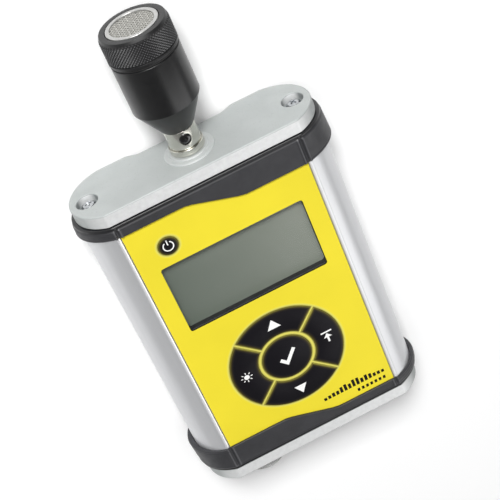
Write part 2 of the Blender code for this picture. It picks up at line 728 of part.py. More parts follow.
def make_collar():
    """The collar that joins the probe to its plug, with a grub screw in its front."""
    bore = SOCKET_RADIUS + GAP
    profile = [(bore, COLLAR_START), (COLLAR_RADIUS - 0.2, COLLAR_START), (COLLAR_RADIUS, COLLAR_START + 0.2),
               (COLLAR_RADIUS, COLLAR_END), (bore, COLLAR_END)]
    collar = piece("probe_collar", "nickel", turned(profile), PROBE_AT)
    screw_at = (0, GRUB_SCREW_Y, PROBE_Z)
    hole = upright_rod(GRUB_SCREW_RADIUS + GAP, SOCKET_RADIUS - 2, COLLAR_RADIUS + 2, 20)
    cut(collar, "collar_screw_cutter", hole, screw_at)
    foot = SOCKET_RADIUS + 0.4
    profile = [(0, foot), (GRUB_SCREW_RADIUS, foot), (GRUB_SCREW_RADIUS, GRUB_SCREW_TOP - 0.2),
               (GRUB_SCREW_RADIUS - 0.2, GRUB_SCREW_TOP), (0, GRUB_SCREW_TOP)]
    screw = piece("probe_grub_screw", "black_plastic", turned_upright(profile, 20), screw_at)
    hexagon = upright_rod(GRUB_SCREW_RADIUS / 2, foot + 0.4, GRUB_SCREW_TOP + 1, 6)
    cut(screw, "grub_screw_hexagon", hexagon, screw_at)


def make_probe():
    """The probe slides off the socket along +Y. Its body is hollow for the preamplifier and the capsule."""
    step = SOCKET_END + GAP
    plug = [(0, PLUG_TIP), (PLUG_RADIUS - 0.4, PLUG_TIP), (PLUG_RADIUS, PLUG_TIP + 0.4), (PLUG_RADIUS, step),
            (SOCKET_RADIUS, step), (SOCKET_RADIUS, COLLAR_END), (0, COLLAR_END)]
    piece("probe_plug", "nickel", turned(plug, 32), PROBE_AT)
    body = [(0, BODY_START), (BODY_START_RADIUS, BODY_START), (BODY_RADIUS - 0.3, BODY_SHOULDER - 0.6),
            (BODY_RADIUS, BODY_SHOULDER), (BODY_RADIUS, BODY_END - 0.3), (BODY_RADIUS - 0.3, BODY_END),
            (NECK_RADIUS, BODY_END), (NECK_RADIUS, NECK_END), (NECK_BORE, NECK_END),
            (NECK_BORE, BODY_BORE_FLOOR), (0, BODY_BORE_FLOOR)]
    piece("probe_body", "black_anodised", turned(body), PROBE_AT)
    seal_bore = NECK_RADIUS + GAP
    seal = [(seal_bore, SEAL_START), (SEAL_RADIUS, SEAL_START),
            (SEAL_RADIUS, SEAL_END), (seal_bore, SEAL_END)]
    piece("probe_seal", "black_plastic", turned(seal), PROBE_AT)
    board = block((-8, BODY_BORE_FLOOR + 1, -0.6), (8, PREAMP_END, 0.6))
    piece("preamp_board", "board", board, PROBE_AT)
    capsule_start = PREAMP_END + 0.5
    capsule = [(0, capsule_start), (CAPSULE_RADIUS, capsule_start), (CAPSULE_RADIUS, CAPSULE_END - 0.4),
               (CAPSULE_RADIUS - 0.4, CAPSULE_END), (0, CAPSULE_END)]
    piece("mic_capsule", "bright_ring", turned(capsule, 40), PROBE_AT)


def make_probe_cap():
    """The knurled cap screws onto the neck, and carries the ring with the mesh and its foam."""
    bore = NECK_RADIUS + 0.4
    lip = GRILLE_OUTER + GAP
    band = PROBE_CAP_BAND_RADIUS
    cap = [(bore, PROBE_CAP_START), (PROBE_CAP_RADIUS, PROBE_CAP_START),
           (PROBE_CAP_RADIUS, PROBE_CAP_KNURL_END), (band, PROBE_CAP_KNURL_END + 0.2),
           (band, PROBE_CAP_BAND_END), (band - 0.25, PROBE_CAP_BAND_END + 0.6),
           (PROBE_CAP_FACE_RADIUS, PROBE_CAP_END), (lip, PROBE_CAP_END), (lip, PROBE_CAP_LIP_START),
           (bore, PROBE_CAP_LIP_START)]
    piece("probe_cap", "black_anodised", turned(cap), PROBE_AT)
    edge = 0.3
    ring = [(GRILLE_INNER, GRILLE_START), (GRILLE_OUTER, GRILLE_START), (GRILLE_OUTER, GRILLE_END - edge),
            (GRILLE_OUTER - edge, GRILLE_END), (GRILLE_INNER + edge, GRILLE_END),
            (GRILLE_INNER, GRILLE_END - edge)]
    piece("grille_ring", "bright_ring", turned(ring), PROBE_AT)
    disc = GRILLE_INNER - GAP
    piece("grille_mesh", "steel_mesh", rod(disc, MESH_START, MESH_END, 40), PROBE_AT)
    piece("grille_foam", "foam", rod(disc, GRILLE_START + 0.2, MESH_START - 0.4, 40), PROBE_AT)


# ---- bottom controls ------------------------------------------------------------------------------


def make_volume_control():
    """The knob and its shaft turn about Y in the potentiometer's bushing."""
    at = (KNOB_X, 0, CONTROL_Z)
    bore = SHAFT_RADIUS + GAP
    knob = [(0, KNOB_END), (KNOB_RADIUS - 0.7, KNOB_END), (KNOB_RADIUS, KNOB_END + 0.7),
            (KNOB_RADIUS, KNOB_START - 0.3), (KNOB_RADIUS - 0.3, KNOB_START), (bore, KNOB_START),
            (bore, KNOB_BORE_FLOOR), (0, KNOB_BORE_FLOOR)]
    piece("volume_knob", "nickel", turned(knob), at)
    piece("pot_shaft", "nickel", rod(SHAFT_RADIUS, KNOB_BORE_FLOOR + GAP, POT_BORE_FLOOR - GAP, 16), at)
    pot_end = -SPIGOT_START + GAP
    pot = [(0, POT_START), (POT_RADIUS, POT_START), (POT_RADIUS, pot_end), (BUSHING_RADIUS, pot_end),
           (BUSHING_RADIUS, BUSHING_END), (bore, BUSHING_END), (bore, POT_BORE_FLOOR), (0, POT_BORE_FLOOR)]
    piece("pot_body", "zinc_screw", turned(pot, 24), at)


def make_sockets():
    """The headphone jack with its ring nut, and the charging port."""
    at = (JACK_X, 0, CONTROL_Z)
    body_end = -SPIGOT_START + GAP
    jack = [(0, JACK_START), (JACK_BODY_RADIUS, JACK_START), (JACK_BODY_RADIUS, body_end),
            (JACK_RADIUS, body_end), (JACK_RADIUS, JACK_END), (JACK_BORE, JACK_END),
            (JACK_BORE, JACK_BORE_FLOOR), (0, JACK_BORE_FLOOR)]
    piece("headphone_jack", "black_plastic", turned(jack, 24), at)
    bore = JACK_RADIUS + GAP
    nut = [(bore, JACK_NUT_START), (JACK_NUT_RADIUS, JACK_NUT_START), (JACK_NUT_RADIUS, JACK_NUT_END + 0.3),
           (JACK_NUT_RADIUS - 0.3, JACK_NUT_END), (bore, JACK_NUT_END)]
    piece("jack_nut", "nickel", turned(nut, 24), at)
    centre = (PORT_X, CONTROL_Z)
    shell = rounded_rectangle(*PORT_SHELL, PORT_RADIUS, centre, 2)
    port = piece("charging_port", "nickel", prism_along_y(shell, PORT_END, PORT_START))
    mouth = rounded_rectangle(*PORT_MOUTH, PORT_RADIUS - 0.1, centre, 2)
    cut(port, "charging_port_cutter", prism_along_y(mouth, -CUTTER_REACH, PORT_MOUTH_FLOOR))


# ---- power ----------------------------------------------------------------------------------------


def make_battery():
    """A tray with four cells side by side, and a contact strip at each end."""
    half = 2 * CELL_PITCH - 0.15
    low_end = CELL_LOW_END - CONTACT_SPACE
    high_end = CELL_HIGH_END + CONTACT_SPACE
    outer = block((-half - TRAY_WALL, low_end - TRAY_WALL, TRAY_FLOOR_BACK),
                  (half + TRAY_WALL, high_end + TRAY_WALL, TRAY_RIM))
    tray = piece("battery_tray", "black_plastic", outer)
    hollow = block((-half, low_end, TRAY_FLOOR_BACK + 1), (half, high_end, TRAY_RIM + 10))
    cut(tray, "battery_tray_cutter", hollow)
    shoulder = CELL_HIGH_END - CELL_BUTTON_HEIGHT
    profile = [(0, CELL_LOW_END), (CELL_RADIUS, CELL_LOW_END), (CELL_RADIUS, shoulder),
               (CELL_BUTTON_RADIUS, shoulder), (CELL_BUTTON_RADIUS, CELL_HIGH_END), (0, CELL_HIGH_END)]
    for number in range(4):
        x = (number - 1.5) * CELL_PITCH
        piece(f"battery_cell_{number + 1}", "cell_wrap", turned(profile, 24), (x, 0, CELL_Z))
    high = high_end - GAP - CONTACT_THICKNESS
    for name, low in (("battery_contact_low", low_end + GAP), ("battery_contact_high", high)):
        strip = block((-half + 1, low, CONTACT_BACK), (half - 1, low + CONTACT_THICKNESS, CONTACT_FRONT))
        piece(name, "nickel", strip)


def main():
    for item in list(bpy.data.objects):
        bpy.data.objects.remove(item, do_unlink=True)
    frame = bpy.data.objects.new("meter_frame", None)
    frame.location = (0, PANEL_OFFSET_Y * MM, PANEL_HEIGHT * MM)
    bpy.context.scene.collection.objects.link(frame)
    make_housing()
    make_bezel("top_bezel", 1)
    make_bezel("bottom_bezel", -1)
    make_top_cap()
    make_bottom_cap()
    make_case_screws()
    make_overlay()
    make_keys()
    make_domes()
    make_display()
    make_boards()
    make_socket()
    make_collar()
    make_probe()
    make_probe_cap()
    make_volume_control()
    make_sockets()
    make_battery()


main()
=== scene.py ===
"""Looks of the sound level meter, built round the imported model.

Shapes are drawn in the front panel's frame, as the part is: lengths in millimetres, x to the right of the
panel, y towards the microphone and z out of the panel, from the centre of the panel's surface. The place of
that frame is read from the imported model. Every piece that shows is a mesh made here, rides on its body and
replaces the plain CAD node that it stands for. The inner pieces keep their CAD shape and get a finish.
"""

import math

import bmesh
import bpy
from mathutils import Matrix, Vector


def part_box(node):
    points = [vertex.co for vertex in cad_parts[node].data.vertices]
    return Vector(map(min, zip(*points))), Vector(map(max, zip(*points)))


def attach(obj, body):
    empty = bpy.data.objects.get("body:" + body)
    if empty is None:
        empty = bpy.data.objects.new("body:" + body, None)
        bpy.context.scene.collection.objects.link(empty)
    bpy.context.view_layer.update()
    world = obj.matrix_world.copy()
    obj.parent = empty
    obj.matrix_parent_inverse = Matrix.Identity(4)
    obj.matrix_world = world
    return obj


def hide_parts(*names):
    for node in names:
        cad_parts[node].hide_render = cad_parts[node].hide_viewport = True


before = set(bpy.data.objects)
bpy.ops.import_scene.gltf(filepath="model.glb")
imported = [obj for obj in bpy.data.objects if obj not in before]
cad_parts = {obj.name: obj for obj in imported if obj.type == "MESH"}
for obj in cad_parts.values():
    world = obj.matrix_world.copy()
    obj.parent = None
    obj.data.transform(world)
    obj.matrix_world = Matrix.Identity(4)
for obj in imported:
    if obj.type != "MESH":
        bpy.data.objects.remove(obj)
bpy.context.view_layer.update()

MM = 0.001
panel_low, panel_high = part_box("front_overlay")
PANEL_Y = (panel_low.y + panel_high.y) / 2
PANEL_Z = panel_high.z

# Case section, shared by the housing and the end caps. Each side is half an ellipse.
SIDE_X = 32.9
SIDE_Z = -15.6
SIDE_REACH = 19.6
SIDE_RISE = 17.8
CASE_FRONT = 0.4
CASE_BACK = -33.1
CHANNEL_FLOOR = -30.5
CHANNEL_HALF_WIDTH = 18.4
PAD_INNER_EDGE = 23.6
HOUSING_END = 69.5
BEZEL_END = 71.8
CAP_START = 72.1
CAP_END = 78.1
CAP_FILLET = 0.8
SPIGOT_HALF_WIDTH = 40.1
CAVITY_HALF_WIDTH = 40.5
CAVITY_FRONT = -3.3
CAVITY_BACK = -28.2
SPIGOT_FRONT = -5.0
SPIGOT_BACK = -25.1
SPIGOT_START = 68.1

# Front panel.
PANEL_HALF_WIDTH = 39.4
PANEL_HALF_LENGTH = 69.0
PANEL_THICKNESS = 1.0
RECESS_HALF_WIDTH = 39.7
RECESS_FLOOR = -1.3
WINDOW_Y = 25.75
WINDOW_HALF_WIDTH = 31.6
WINDOW_HALF_HEIGHT = 17.45
WINDOW_RADIUS = 1.2
KEYPAD_Y = -26.9
KEYPAD_RADIUS = 25.8
RIB_INNER = 11.3
RIB_OUTER = 13.1
SPOKE = 1.0
PRINTED_SPOKE = 1.5
KEY_TOP = 0.32
KEY_CLEARANCE = 0.12
KEY_BACK = -2.5
POWER_KEY_BACK = -4.6
GASKET_BACK = -4.1
POWER_AT = (-24.4, 52.2)
POWER_RADIUS = 4.3
PRINT = 0.03  # thickness of a printed mark

# Bezels.
BEZEL_FRONT = 1.3
BEZEL_BACK = -35.4
BEZEL_CREASE = 41.0
BEZEL_HALF_WIDTH_AT_CAP = 54.4
BEZEL_FLARE = 0.067  # widening per mm away from the cap
BEZEL_NARROW_EDGE = 66.0
BEZEL_WIDE_EDGE = 58.3
BEZEL_SLOPE_HALF_WIDTH = 11.2
BEZEL_CORNER = 39.8  # x of the groove between the two ridges where the front turns into the side
LAND = 1.3  # width of the low band next to the cap

# End screws, in counterbores.
SCREW_X = 45.0
SCREW_Z = -14.8
COUNTERBORE_RADIUS = 4.6
COUNTERBORE_FLOOR = 74.6
SCREW_HEAD_RADIUS = 3.2
SCREW_HEAD_FRONT = 76.9

# Boss on the top cap, in two steps, with the bore for the probe's socket.
BOSS_RADIUS = 10.6
BOSS_TOP = 78.75
BOSS_STEP_RADIUS = 8.44
BOSS_STEP_TOP = 79.4
SOCKET_BORE = 5.3

# Probe, on an axis along y.
PROBE_Z = -15.5
PROBE_AT = (0.0, PROBE_Z)
COLLAR_RADIUS = 6.63
COLLAR_LOW = 82.45
COLLAR_HIGH = 90.5
GRUB_Y = 86.9
CONE_START = 90.8
CONE_END = 103.2
BODY_RADIUS = 13.9
BODY_END = 124.7
CAP_RADIUS = 14.1
CAP_LOW = 125.8
CAP_HIGH = 137.4
CAP_BORE = 11.6
CAP_FLOOR = 133.0  # end of the bore, under the lip
CAP_LIP = 10.9  # radius of the opening over the mesh
KNURL_LOW = 127.05
KNURL_HIGH = 136.3
GRILLE_OUTER = 10.6
GRILLE_INNER = 8.96

# Bottom cap.
CONTROL_Z = -15.5
KNOB_AT = (-27.2, CONTROL_Z)
KNOB_RADIUS = 9.9
KNOB_LOW = -85.8
KNOB_HIGH = -79.4
KNOB_FACE = -86.8
KNOB_BACK = -78.7
JACK_AT = (8.0, CONTROL_Z)
PORT_AT = (30.0, CONTROL_Z)


# ---- outlines ----


def arc(radius, start, end, steps, centre=(0.0, 0.0), rise=None):
    """Points on an arc, with angles in degrees. With rise it is an arc of an ellipse of that half height."""
    rise = radius if rise is None else rise
    points = []
    for step in range(steps + 1):
        angle = math.radians(start + (end - start) * step / steps)
        points.append((centre[0] + radius * math.cos(angle), centre[1] + rise * math.sin(angle)))
    return points


def circle(radius, segments, centre=(0.0, 0.0)):
    return arc(radius, 0, 360 * (segments - 1) / segments, segments - 1, centre)


def rounded_rectangle(half_width, half_height, radius, centre=(0.0, 0.0), steps=6):
    points = []
    for corner, (side, end) in enumerate(((1, 1), (-1, 1), (-1, -1), (1, -1))):
        middle = (centre[0] + side * (half_width - radius), centre[1] + end * (half_height - radius))
        points += arc(radius, 90 * corner, 90 * corner + 90, steps, middle)
    return points


def tube(inner, outer, low, high):
    """The profile of a plain ring to turn, or of a disc when inner is 0."""
    return [(inner, low), (outer, low), (outer, high), (inner, high)]


def limited(value):
    return min(max(value, 0), 1)


def mirrored(points):
    """The same points on the other side of x = 0, in the order that closes the outline."""
    return [(-x, y) for x, y in reversed(points)]


def rounded(points, radius, closed=False, steps=4, least_turn=20):
    """The polyline with every corner that turns by more than least_turn degrees replaced by a curve."""
    made = []
    count = len(points)
    for index, here in enumerate(points):
        if not closed and index in (0, count - 1):
            made.append(here)
            continue
        here = Vector(here)
        to_before = Vector(points[index - 1]) - here
        to_after = Vector(points[(index + 1) % count]) - here
        turn = math.pi - to_before.angle(to_after)
        if math.degrees(turn) < least_turn:
            made.append(tuple(here))
            continue
        reach = min(radius * math.tan(turn / 2), 0.45 * to_before.length, 0.45 * to_after.length)
        start = here + to_before.normalized() * reach
        end = here + to_after.normalized() * reach
        for step in range(steps + 1):
            t = step / steps
            made.append(tuple(start * (1 - t) ** 2 + here * (2 * t * (1 - t)) + end * t**2))
    return made


def case_half(grow=0.0, steps=48):
    """Right half of the case section, from the front flat to the channel in the back."""
    front = CASE_FRONT + grow
    back = CASE_BACK - grow
    rise = SIDE_RISE + grow
    start = math.degrees(math.asin((front - SIDE_Z) / rise))
    end = math.degrees(math.asin((back - SIDE_Z) / rise))
    slope = math.atan2(CHANNEL_FLOOR - CASE_BACK, PAD_INNER_EDGE - CHANNEL_HALF_WIDTH)
    shift = grow * math.tan(slope / 2)
    points = arc(SIDE_REACH + grow, start, end, steps, (SIDE_X, SIDE_Z), rise)
    points.append((PAD_INNER_EDGE - shift, back))
    points.append((CHANNEL_HALF_WIDTH - shift, CHANNEL_FLOOR - grow))
    return points


def case_outline(grow, crease):
    """The case section, grown by that much, with its corners rounded."""
    half = case_half(grow)
    return rounded(half + mirrored(half), crease, closed=True, steps=6)


def housing_outline():
    lip = 0.75
    half = [(RECESS_HALF_WIDTH, RECESS_FLOOR)]
    half += arc(lip, 180, 90, 6, (RECESS_HALF_WIDTH + lip, CASE_FRONT - lip)) + case_half()
    return rounded(half + mirrored(half), 0.4, closed=True)


def cavity_outline():
    middle = (CAVITY_FRONT + CAVITY_BACK) / 2
    return rounded_rectangle(CAVITY_HALF_WIDTH, (CAVITY_FRONT - CAVITY_BACK) / 2, 3.0, (0, middle))


def key_sector(inner, outer, half_spoke, direction, steps=28):
    """A quarter of the keypad's ring that faces a direction, half_spoke clear of the two diagonals."""
    centre = (0, KEYPAD_Y)
    outer_half = 45 - math.degrees(math.asin(half_spoke / outer))
    inner_half = 45 - math.degrees(math.asin(half_spoke / inner))
    points = arc(outer, direction - outer_half, direction + outer_half, steps, centre)
    return points + arc(inner, direction + inner_half, direction - inner_half, steps, centre)


# ---- meshes ----


def loft(rings, looped=False, shape=None):
    """Quads through rings of equal length, in a new mesh or a given one. Looped, the last joins the first."""
    shape = shape or bmesh.new()
    loops = [[shape.verts.new(point) for point in ring] for ring in rings]
    pairs = list(zip(loops, loops[1:]))
    if looped:
        pairs.append((loops[-1], loops[0]))
    for low, high in pairs:
        for index in range(len(low)):
            after = (index + 1) % len(low)
            shape.faces.new((low[index], low[after], high[after], high[index]))
    if not looped:
        shape.faces.new(loops[0])
        shape.faces.new(loops[-1])
    return shape


def along_y(outline, levels):
    """An (x, z) outline drawn out through the given y levels."""
    return loft([[(x, y, z) for x, z in outline] for y in levels])


def plate(outline, low, high, shape=None):
    """An (x, y) outline drawn out along z."""
    return loft([[(x, y, z) for x, y in outline] for z in (low, high)], shape=shape)


def turned(profile, segments, at=(0.0, 0.0), shape=None, closed=True):
    """A solid turned about an axis along y through at = (x, z), from (radius, y) points.

    A profile that starts on the axis is left open, and any other one closes on itself, if closed.
    """
    shape = shape or bmesh.new()
    loops = []
    for radius, along in profile:
        if radius < 1e-6:
            loops.append([shape.verts.new((at[0], along, at[1]))])
        else:
            loops.append([shape.verts.new((x, along, z)) for x, z in circle(radius, segments, at)])
    pairs = list(zip(loops, loops[1:]))
    if closed and len(loops[0]) > 1:
        pairs.append((loops[-1], loops[0]))
    for low, high in pairs:
        for index in range(segments):
            after = (index + 1) % segments
            corners = (low[index % len(low)], low[after % len(low)],
                       high[after % len(high)], high[index % len(high)])
            shape.faces.new(list(dict.fromkeys(corners)))
    return shape


def turned_upright(profile, segments, at):
    """The same about a vertical axis, from (radius, z) points, at an (x, y) place."""
    shape = turned(profile, segments)
    for vertex in shape.verts:
        x, y, z = vertex.co
        vertex.co = (x + at[0], -z + at[1], y)
    return shape


def rod(radius, low, high, segments, at):
    return turned(tube(0, radius, low, high), segments, at)


def new_object(name, data):
    made = bpy.data.objects.new(name, data)
    bpy.context.scene.collection.objects.link(made)
    return made


def mesh_object(name, shape):
    """An object from a bmesh in the panel's frame. The object's own origin is the row frame's."""
    bmesh.ops.remove_doubles(shape, verts=shape.verts, dist=1e-5)
    bmesh.ops.recalc_face_normals(shape, faces=shape.faces)
    for vertex in shape.verts:
        x, y, z = vertex.co
        vertex.co = (x * MM, y * MM + PANEL_Y, z * MM + PANEL_Z)
    mesh = bpy.data.meshes.new(name)
    shape.to_mesh(mesh)
    shape.free()
    return new_object(name, mesh)


def carve(target, shapes, operation):
    """Cuts shapes from the target, or joins them on, and keeps the result as its mesh."""
    helpers = []
    for number, shape in enumerate(shapes):
        helper = mesh_object(f"{target.name}_helper_{number}", shape)
        helpers.append(helper)
        modifier = target.modifiers.new(helper.name, "BOOLEAN")
        modifier.operation = operation
        modifier.object = helper
    graph = bpy.context.evaluated_depsgraph_get()
    mesh = bpy.data.meshes.new_from_object(target.evaluated_get(graph))
    target.modifiers.clear()
    target.data = mesh
    mesh.name = target.name
    for helper in helpers:
        bpy.data.objects.remove(helper, do_unlink=True)


def paint(made, material):
    made.data.materials.clear()
    made.data.materials.append(MATERIALS[material])


def piece(name, shape, body, material, nodes=(), joined=(), holes=(), sharp=32):
    """A piece of the meter from a shape, with others joined on and holes cut, in that order.

    It rides on a body and stands for CAD nodes.
    """
    made = mesh_object(name, shape)
    for shapes, operation in ((joined, "UNION"), (holes, "DIFFERENCE")):
        if shapes:
            carve(made, shapes, operation)
    made.data.shade_smooth()
    made.data.set_sharp_from_angle(angle=math.radians(sharp))
    paint(made, material)
    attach(made, body)
    if nodes:
        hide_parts(*nodes)
    return made


def weighted(made):
    """Shades by face size, so that a large flat face stays flat beside a small rounded edge."""
    modifier = made.modifiers.new("weighted", "WEIGHTED_NORMAL")
    modifier.keep_sharp = True


# ---- materials ----


def linear(colour):
    """An sRGB colour, 0 to 255, as the linear one that a shader takes."""
    made = []
    for value in colour:
        value = value / 255
        made.append(value / 12.92 if value <= 0.04045 else ((value + 0.055) / 1.055) ** 2.4)
    return (*made, 1.0)


def arithmetic(operation):
    """A method for Value that applies one math operation."""
    return lambda value, other=0.0: value.math(operation, other)


class Value:
    """A number or colour that a shader works out at each point. Numbers take the usual arithmetic."""

    def __init__(self, shading, output):
        self.shading = shading
        self.output = output

    def math(self, operation, other=0.0):
        return self.shading.value("ShaderNodeMath", {0: self, 1: other}, operation=operation)

    __add__ = arithmetic("ADD")
    __sub__ = arithmetic("SUBTRACT")
    __mul__ = arithmetic("MULTIPLY")
    __truediv__ = arithmetic("DIVIDE")
    __abs__ = arithmetic("ABSOLUTE")
    __gt__ = arithmetic("GREATER_THAN")
    __lt__ = arithmetic("LESS_THAN")

    def __rsub__(self, other):
        return self * -1 + other

    def spread(self, low, high, start=0.3, end=0.7):
        """This number with start to end mapped onto low to high, and held at those outside."""
        limits = {"From Min": start, "From Max": end, "To Min": low, "To Max": high}
        return self.shading.value("ShaderNodeMapRange", {"Value": self, **limits})


def least(first, *others):
    for other in others:
        first = first.math("MINIMUM", other)
    return first


def most(first, *others):
    for other in others:
        first = first.math("MAXIMUM", other)
    return first


def distance(across, along):
    return (across * across + along * along).math("SQRT")


class Shading:
    """The nodes of a material or of the world, which end in one shader. All its textures are procedural."""

    def __init__(self, owner, shader="Principled BSDF", **sockets):
        owner.use_nodes = True
        self.owner = owner
        self.tree = owner.node_tree
        self.shader = self.tree.nodes[shader]
        outputs = self.node("ShaderNodeTexCoord", {}).outputs
        self.coordinates = {output.name: Value(self, output) for output in outputs}
        self.look(**sockets)

    def feed(self, socket, value):
        """Gives a socket a Value, an sRGB colour or a plain number."""
        if isinstance(value, Value):
            self.tree.links.new(value.output, socket)
        else:
            socket.default_value = linear(value) if isinstance(value, tuple) else value

    def node(self, kind, inputs, **settings):
        """A new node with these inputs, by their names or numbers."""
        made = self.tree.nodes.new(kind)
        for name, value in settings.items():
            setattr(made, name, value)
        for socket, value in inputs.items():
            self.feed(made.inputs[socket], value)
        return made

    def value(self, kind, inputs, output=0, **settings):
        return Value(self, self.node(kind, inputs, **settings).outputs[output])

    def look(self, **sockets):
        """Feeds the shader's own sockets, named with _ for a space."""
        for name, value in sockets.items():
            self.feed(self.shader.inputs[name.replace("_", " ")], value)

    def axes(self, coordinates):
        split = self.node("ShaderNodeSeparateXYZ", {0: self.coordinates[coordinates]})
        return [Value(self, output) for output in split.outputs]

    def place(self):
        """Where a point lies on the meter at rest, as x, y and z in millimetres in the panel's frame."""
        x, y, z = self.axes("Object")
        return x / MM, (y - PANEL_Y) / MM, (z - PANEL_Z) / MM

    def noise(self, size_mm, stretch=(1, 1, 1), detail=3.0):
        """Noise whose features are about size_mm across, drawn out by stretch."""
        scale = [1 / value for value in stretch]
        place = self.value("ShaderNodeMapping", {"Vector": self.coordinates["Object"], "Scale": scale})
        inputs = {"Vector": place, "Scale": 1 / (size_mm * MM), "Detail": detail}
        return self.value("ShaderNodeTexNoise", inputs)

    def mix(self, factor, first, second, blend="MIX"):
        """A colour between two, each an sRGB colour or a Value."""
        inputs = {0: factor, 6: first, 7: second}
        return self.value("ShaderNodeMix", inputs, 2, data_type="RGBA", blend_type=blend)

    def patches(self, size_mm, first, second, stretch=(1, 1, 1)):
        """Soft patches that run from one number to another, or from one sRGB colour to another."""
        noise = self.noise(size_mm, stretch)
        if isinstance(first, tuple):
            return self.mix(noise.spread(0, 1), first, second)
        return noise.spread(first, second)

    def ramp(self, value, stops):
        """A colour that runs through (place, sRGB colour) stops as the value runs over their places."""
        low, high = stops[0][0], stops[-1][0]
        node = self.node("ShaderNodeValToRGB", {0: value.spread(0, 1, low, high)})
        elements = node.color_ramp.elements
        while len(elements) < len(stops):
            elements.new(0.5)
        for element, (place, colour) in zip(elements, stops):
            element.position = (place - low) / (high - low)
            element.color = linear(colour)
        return Value(self, node.outputs["Color"])

    def finish(self, colour, roughness, height=None, depth_mm=0.0):
        """Gives the material a colour, a roughness and a bump of that height, and returns it."""
        self.look(Base_Color=colour, Roughness=roughness)
        if height:
            self.look(Normal=self.value("ShaderNodeBump", {"Height": height, "Distance": depth_mm * MM}))
        return self.owner


def surface(name, **sockets):
    return Shading(bpy.data.materials.new(name), **sockets)


def plain_surface(name, dark, light, rough, grain=0.4, patch=6.0, depth=0.004, **sockets):
    """The common recipe: patches of two near colours, a varied roughness and a fine grain."""
    made = surface(name, **sockets)
    colour, roughness = made.patches(patch, dark, light), made.patches(patch / 2, *rough)
    return made.finish(colour, roughness, made.noise(grain), depth)


def distance_to_print(x, y):
    """How far a point of the panel is outside the black printing of the keys, and less than 0 inside it."""
    up = y - KEYPAD_Y
    radius = distance(x, up)
    to_diagonal = least(abs(x + up), abs(x - up)) * math.sqrt(0.5)
    sector = most(radius - KEYPAD_RADIUS, RIB_OUTER - radius, PRINTED_SPOKE / 2 - to_diagonal)
    power = distance(x - POWER_AT[0], y - POWER_AT[1]) - POWER_RADIUS
    return least(sector, radius - RIB_INNER, power)


def film_surface():
    """The printed film of the panel and the keys: matte yellow, with black printed keys whose edges fade
    through a painted shade and a pale painted highlight that stand in for raised rims.

    Below its top the panel is a black carrier plate.
    """
    made = surface("printed_film", IOR=1.5, Specular_IOR_Level=0.14)
    x, y, z = made.place()
    # The ramp runs from the black print through a painted shade and a pale painted highlight at the key
    # edges, to the yellow.
    stops = ((-1.7, (17, 15, 20)), (-1.1, (34, 29, 24)), (-0.6, (56, 50, 26)), (-0.15, (104, 97, 42)),
             (0.25, (170, 163, 74)), (0.6, (214, 207, 104)), (1.0, (231, 220, 84)), (1.5, (234, 216, 52)))
    print_with_painted_edges = made.ramp(distance_to_print(x, y), stops)
    cloud = made.patches(40.0, (246, 246, 246), (255, 255, 255))
    print_with_painted_edges = made.mix(1.0, print_with_painted_edges, cloud, "MULTIPLY")
    below = z.spread(1, 0, -0.3, -0.2)
    colour = made.mix(below, print_with_painted_edges, (20, 20, 20))
    return made.finish(colour, made.patches(3.0, 0.42, 0.5), made.noise(0.25, detail=2.0), 0.003)


def lcd_surface():
    """Grey green display with its dot matrix just visible, and a painted reflection that makes it lighter
    towards one corner.
    """
    made = surface("lcd_film", IOR=1.5)
    x, y, _ = made.place()
    # Painted reflection: a gradient lighter towards +x and +y, with random tone on top.
    painted_reflection_and_tone = (x + (y - WINDOW_Y) * 0.35).spread(0, 1, -34, 34) + made.patches(12.0, -0.04, 0.04)
    base = made.mix(painted_reflection_and_tone, (115, 125, 114), (154, 160, 148))
    dot = 2 * WINDOW_HALF_WIDTH / 128 * MM
    columns, rows = ((axis / dot).math("FRACT") < 0.12 for axis in made.axes("Object")[:2])
    return made.finish(made.mix(most(columns, rows) * 0.1, base, (96, 102, 94)), made.patches(4.0, 0.3, 0.4))


def window_surface():
    made = surface("clear_window", IOR=1.49, Alpha=0.12)
    return made.finish(made.patches(20.0, (60, 64, 62), (70, 74, 72)), made.patches(6.0, 0.05, 0.12))


def housing_surface():
    """Anodised extrusion with fine lines along it, and a painted highlight that colours the lip beside the
    panel near white.
    """
    made = surface("anodised_extrusion", Metallic=0.58)
    along = (1, 40, 1)
    x, _, z = made.place()
    # Painted highlight: the lip beside the panel is mixed towards near white.
    lip = (abs(x) - RECESS_HALF_WIDTH).spread(1, 0, 1.1, 1.6) * (z > -2)
    sides = made.patches(2.5, (203, 204, 206), (208, 209, 211), along)
    colour = made.mix(lip, sides, (240, 240, 241))
    return made.finish(colour, made.patches(1.25, 0.34, 0.38, along), made.noise(0.3, along), 0.001)


def bezel_surface():
    """Moulded rubber, smoother on the land by the cap and darker there with painted shade, and paler on the
    front ridges with a painted highlight.
    """
    made = surface("bezel_rubber", IOR=1.5)
    _, y, z = made.place()
    # Painted shade: the land beside the cap is coloured darker. It is also really smoother there.
    land = (abs(y) - BEZEL_END + LAND).spread(0, 1, -0.5, 0)
    # Painted highlight: the raised front ridges are coloured paler.
    painted_ridge_highlight = (z - BEZEL_FRONT).spread(0, 0.9, 0.06, 0.28)
    rubber = made.mix(painted_ridge_highlight, made.patches(7.0, (41, 41, 44), (49, 49, 52)), (78, 78, 81))
    roughness = made.patches(2.5, 0.42, 0.54) - land * 0.12
    return made.finish(made.mix(land, rubber, (25, 25, 27)), roughness, made.noise(0.35), 0.006)


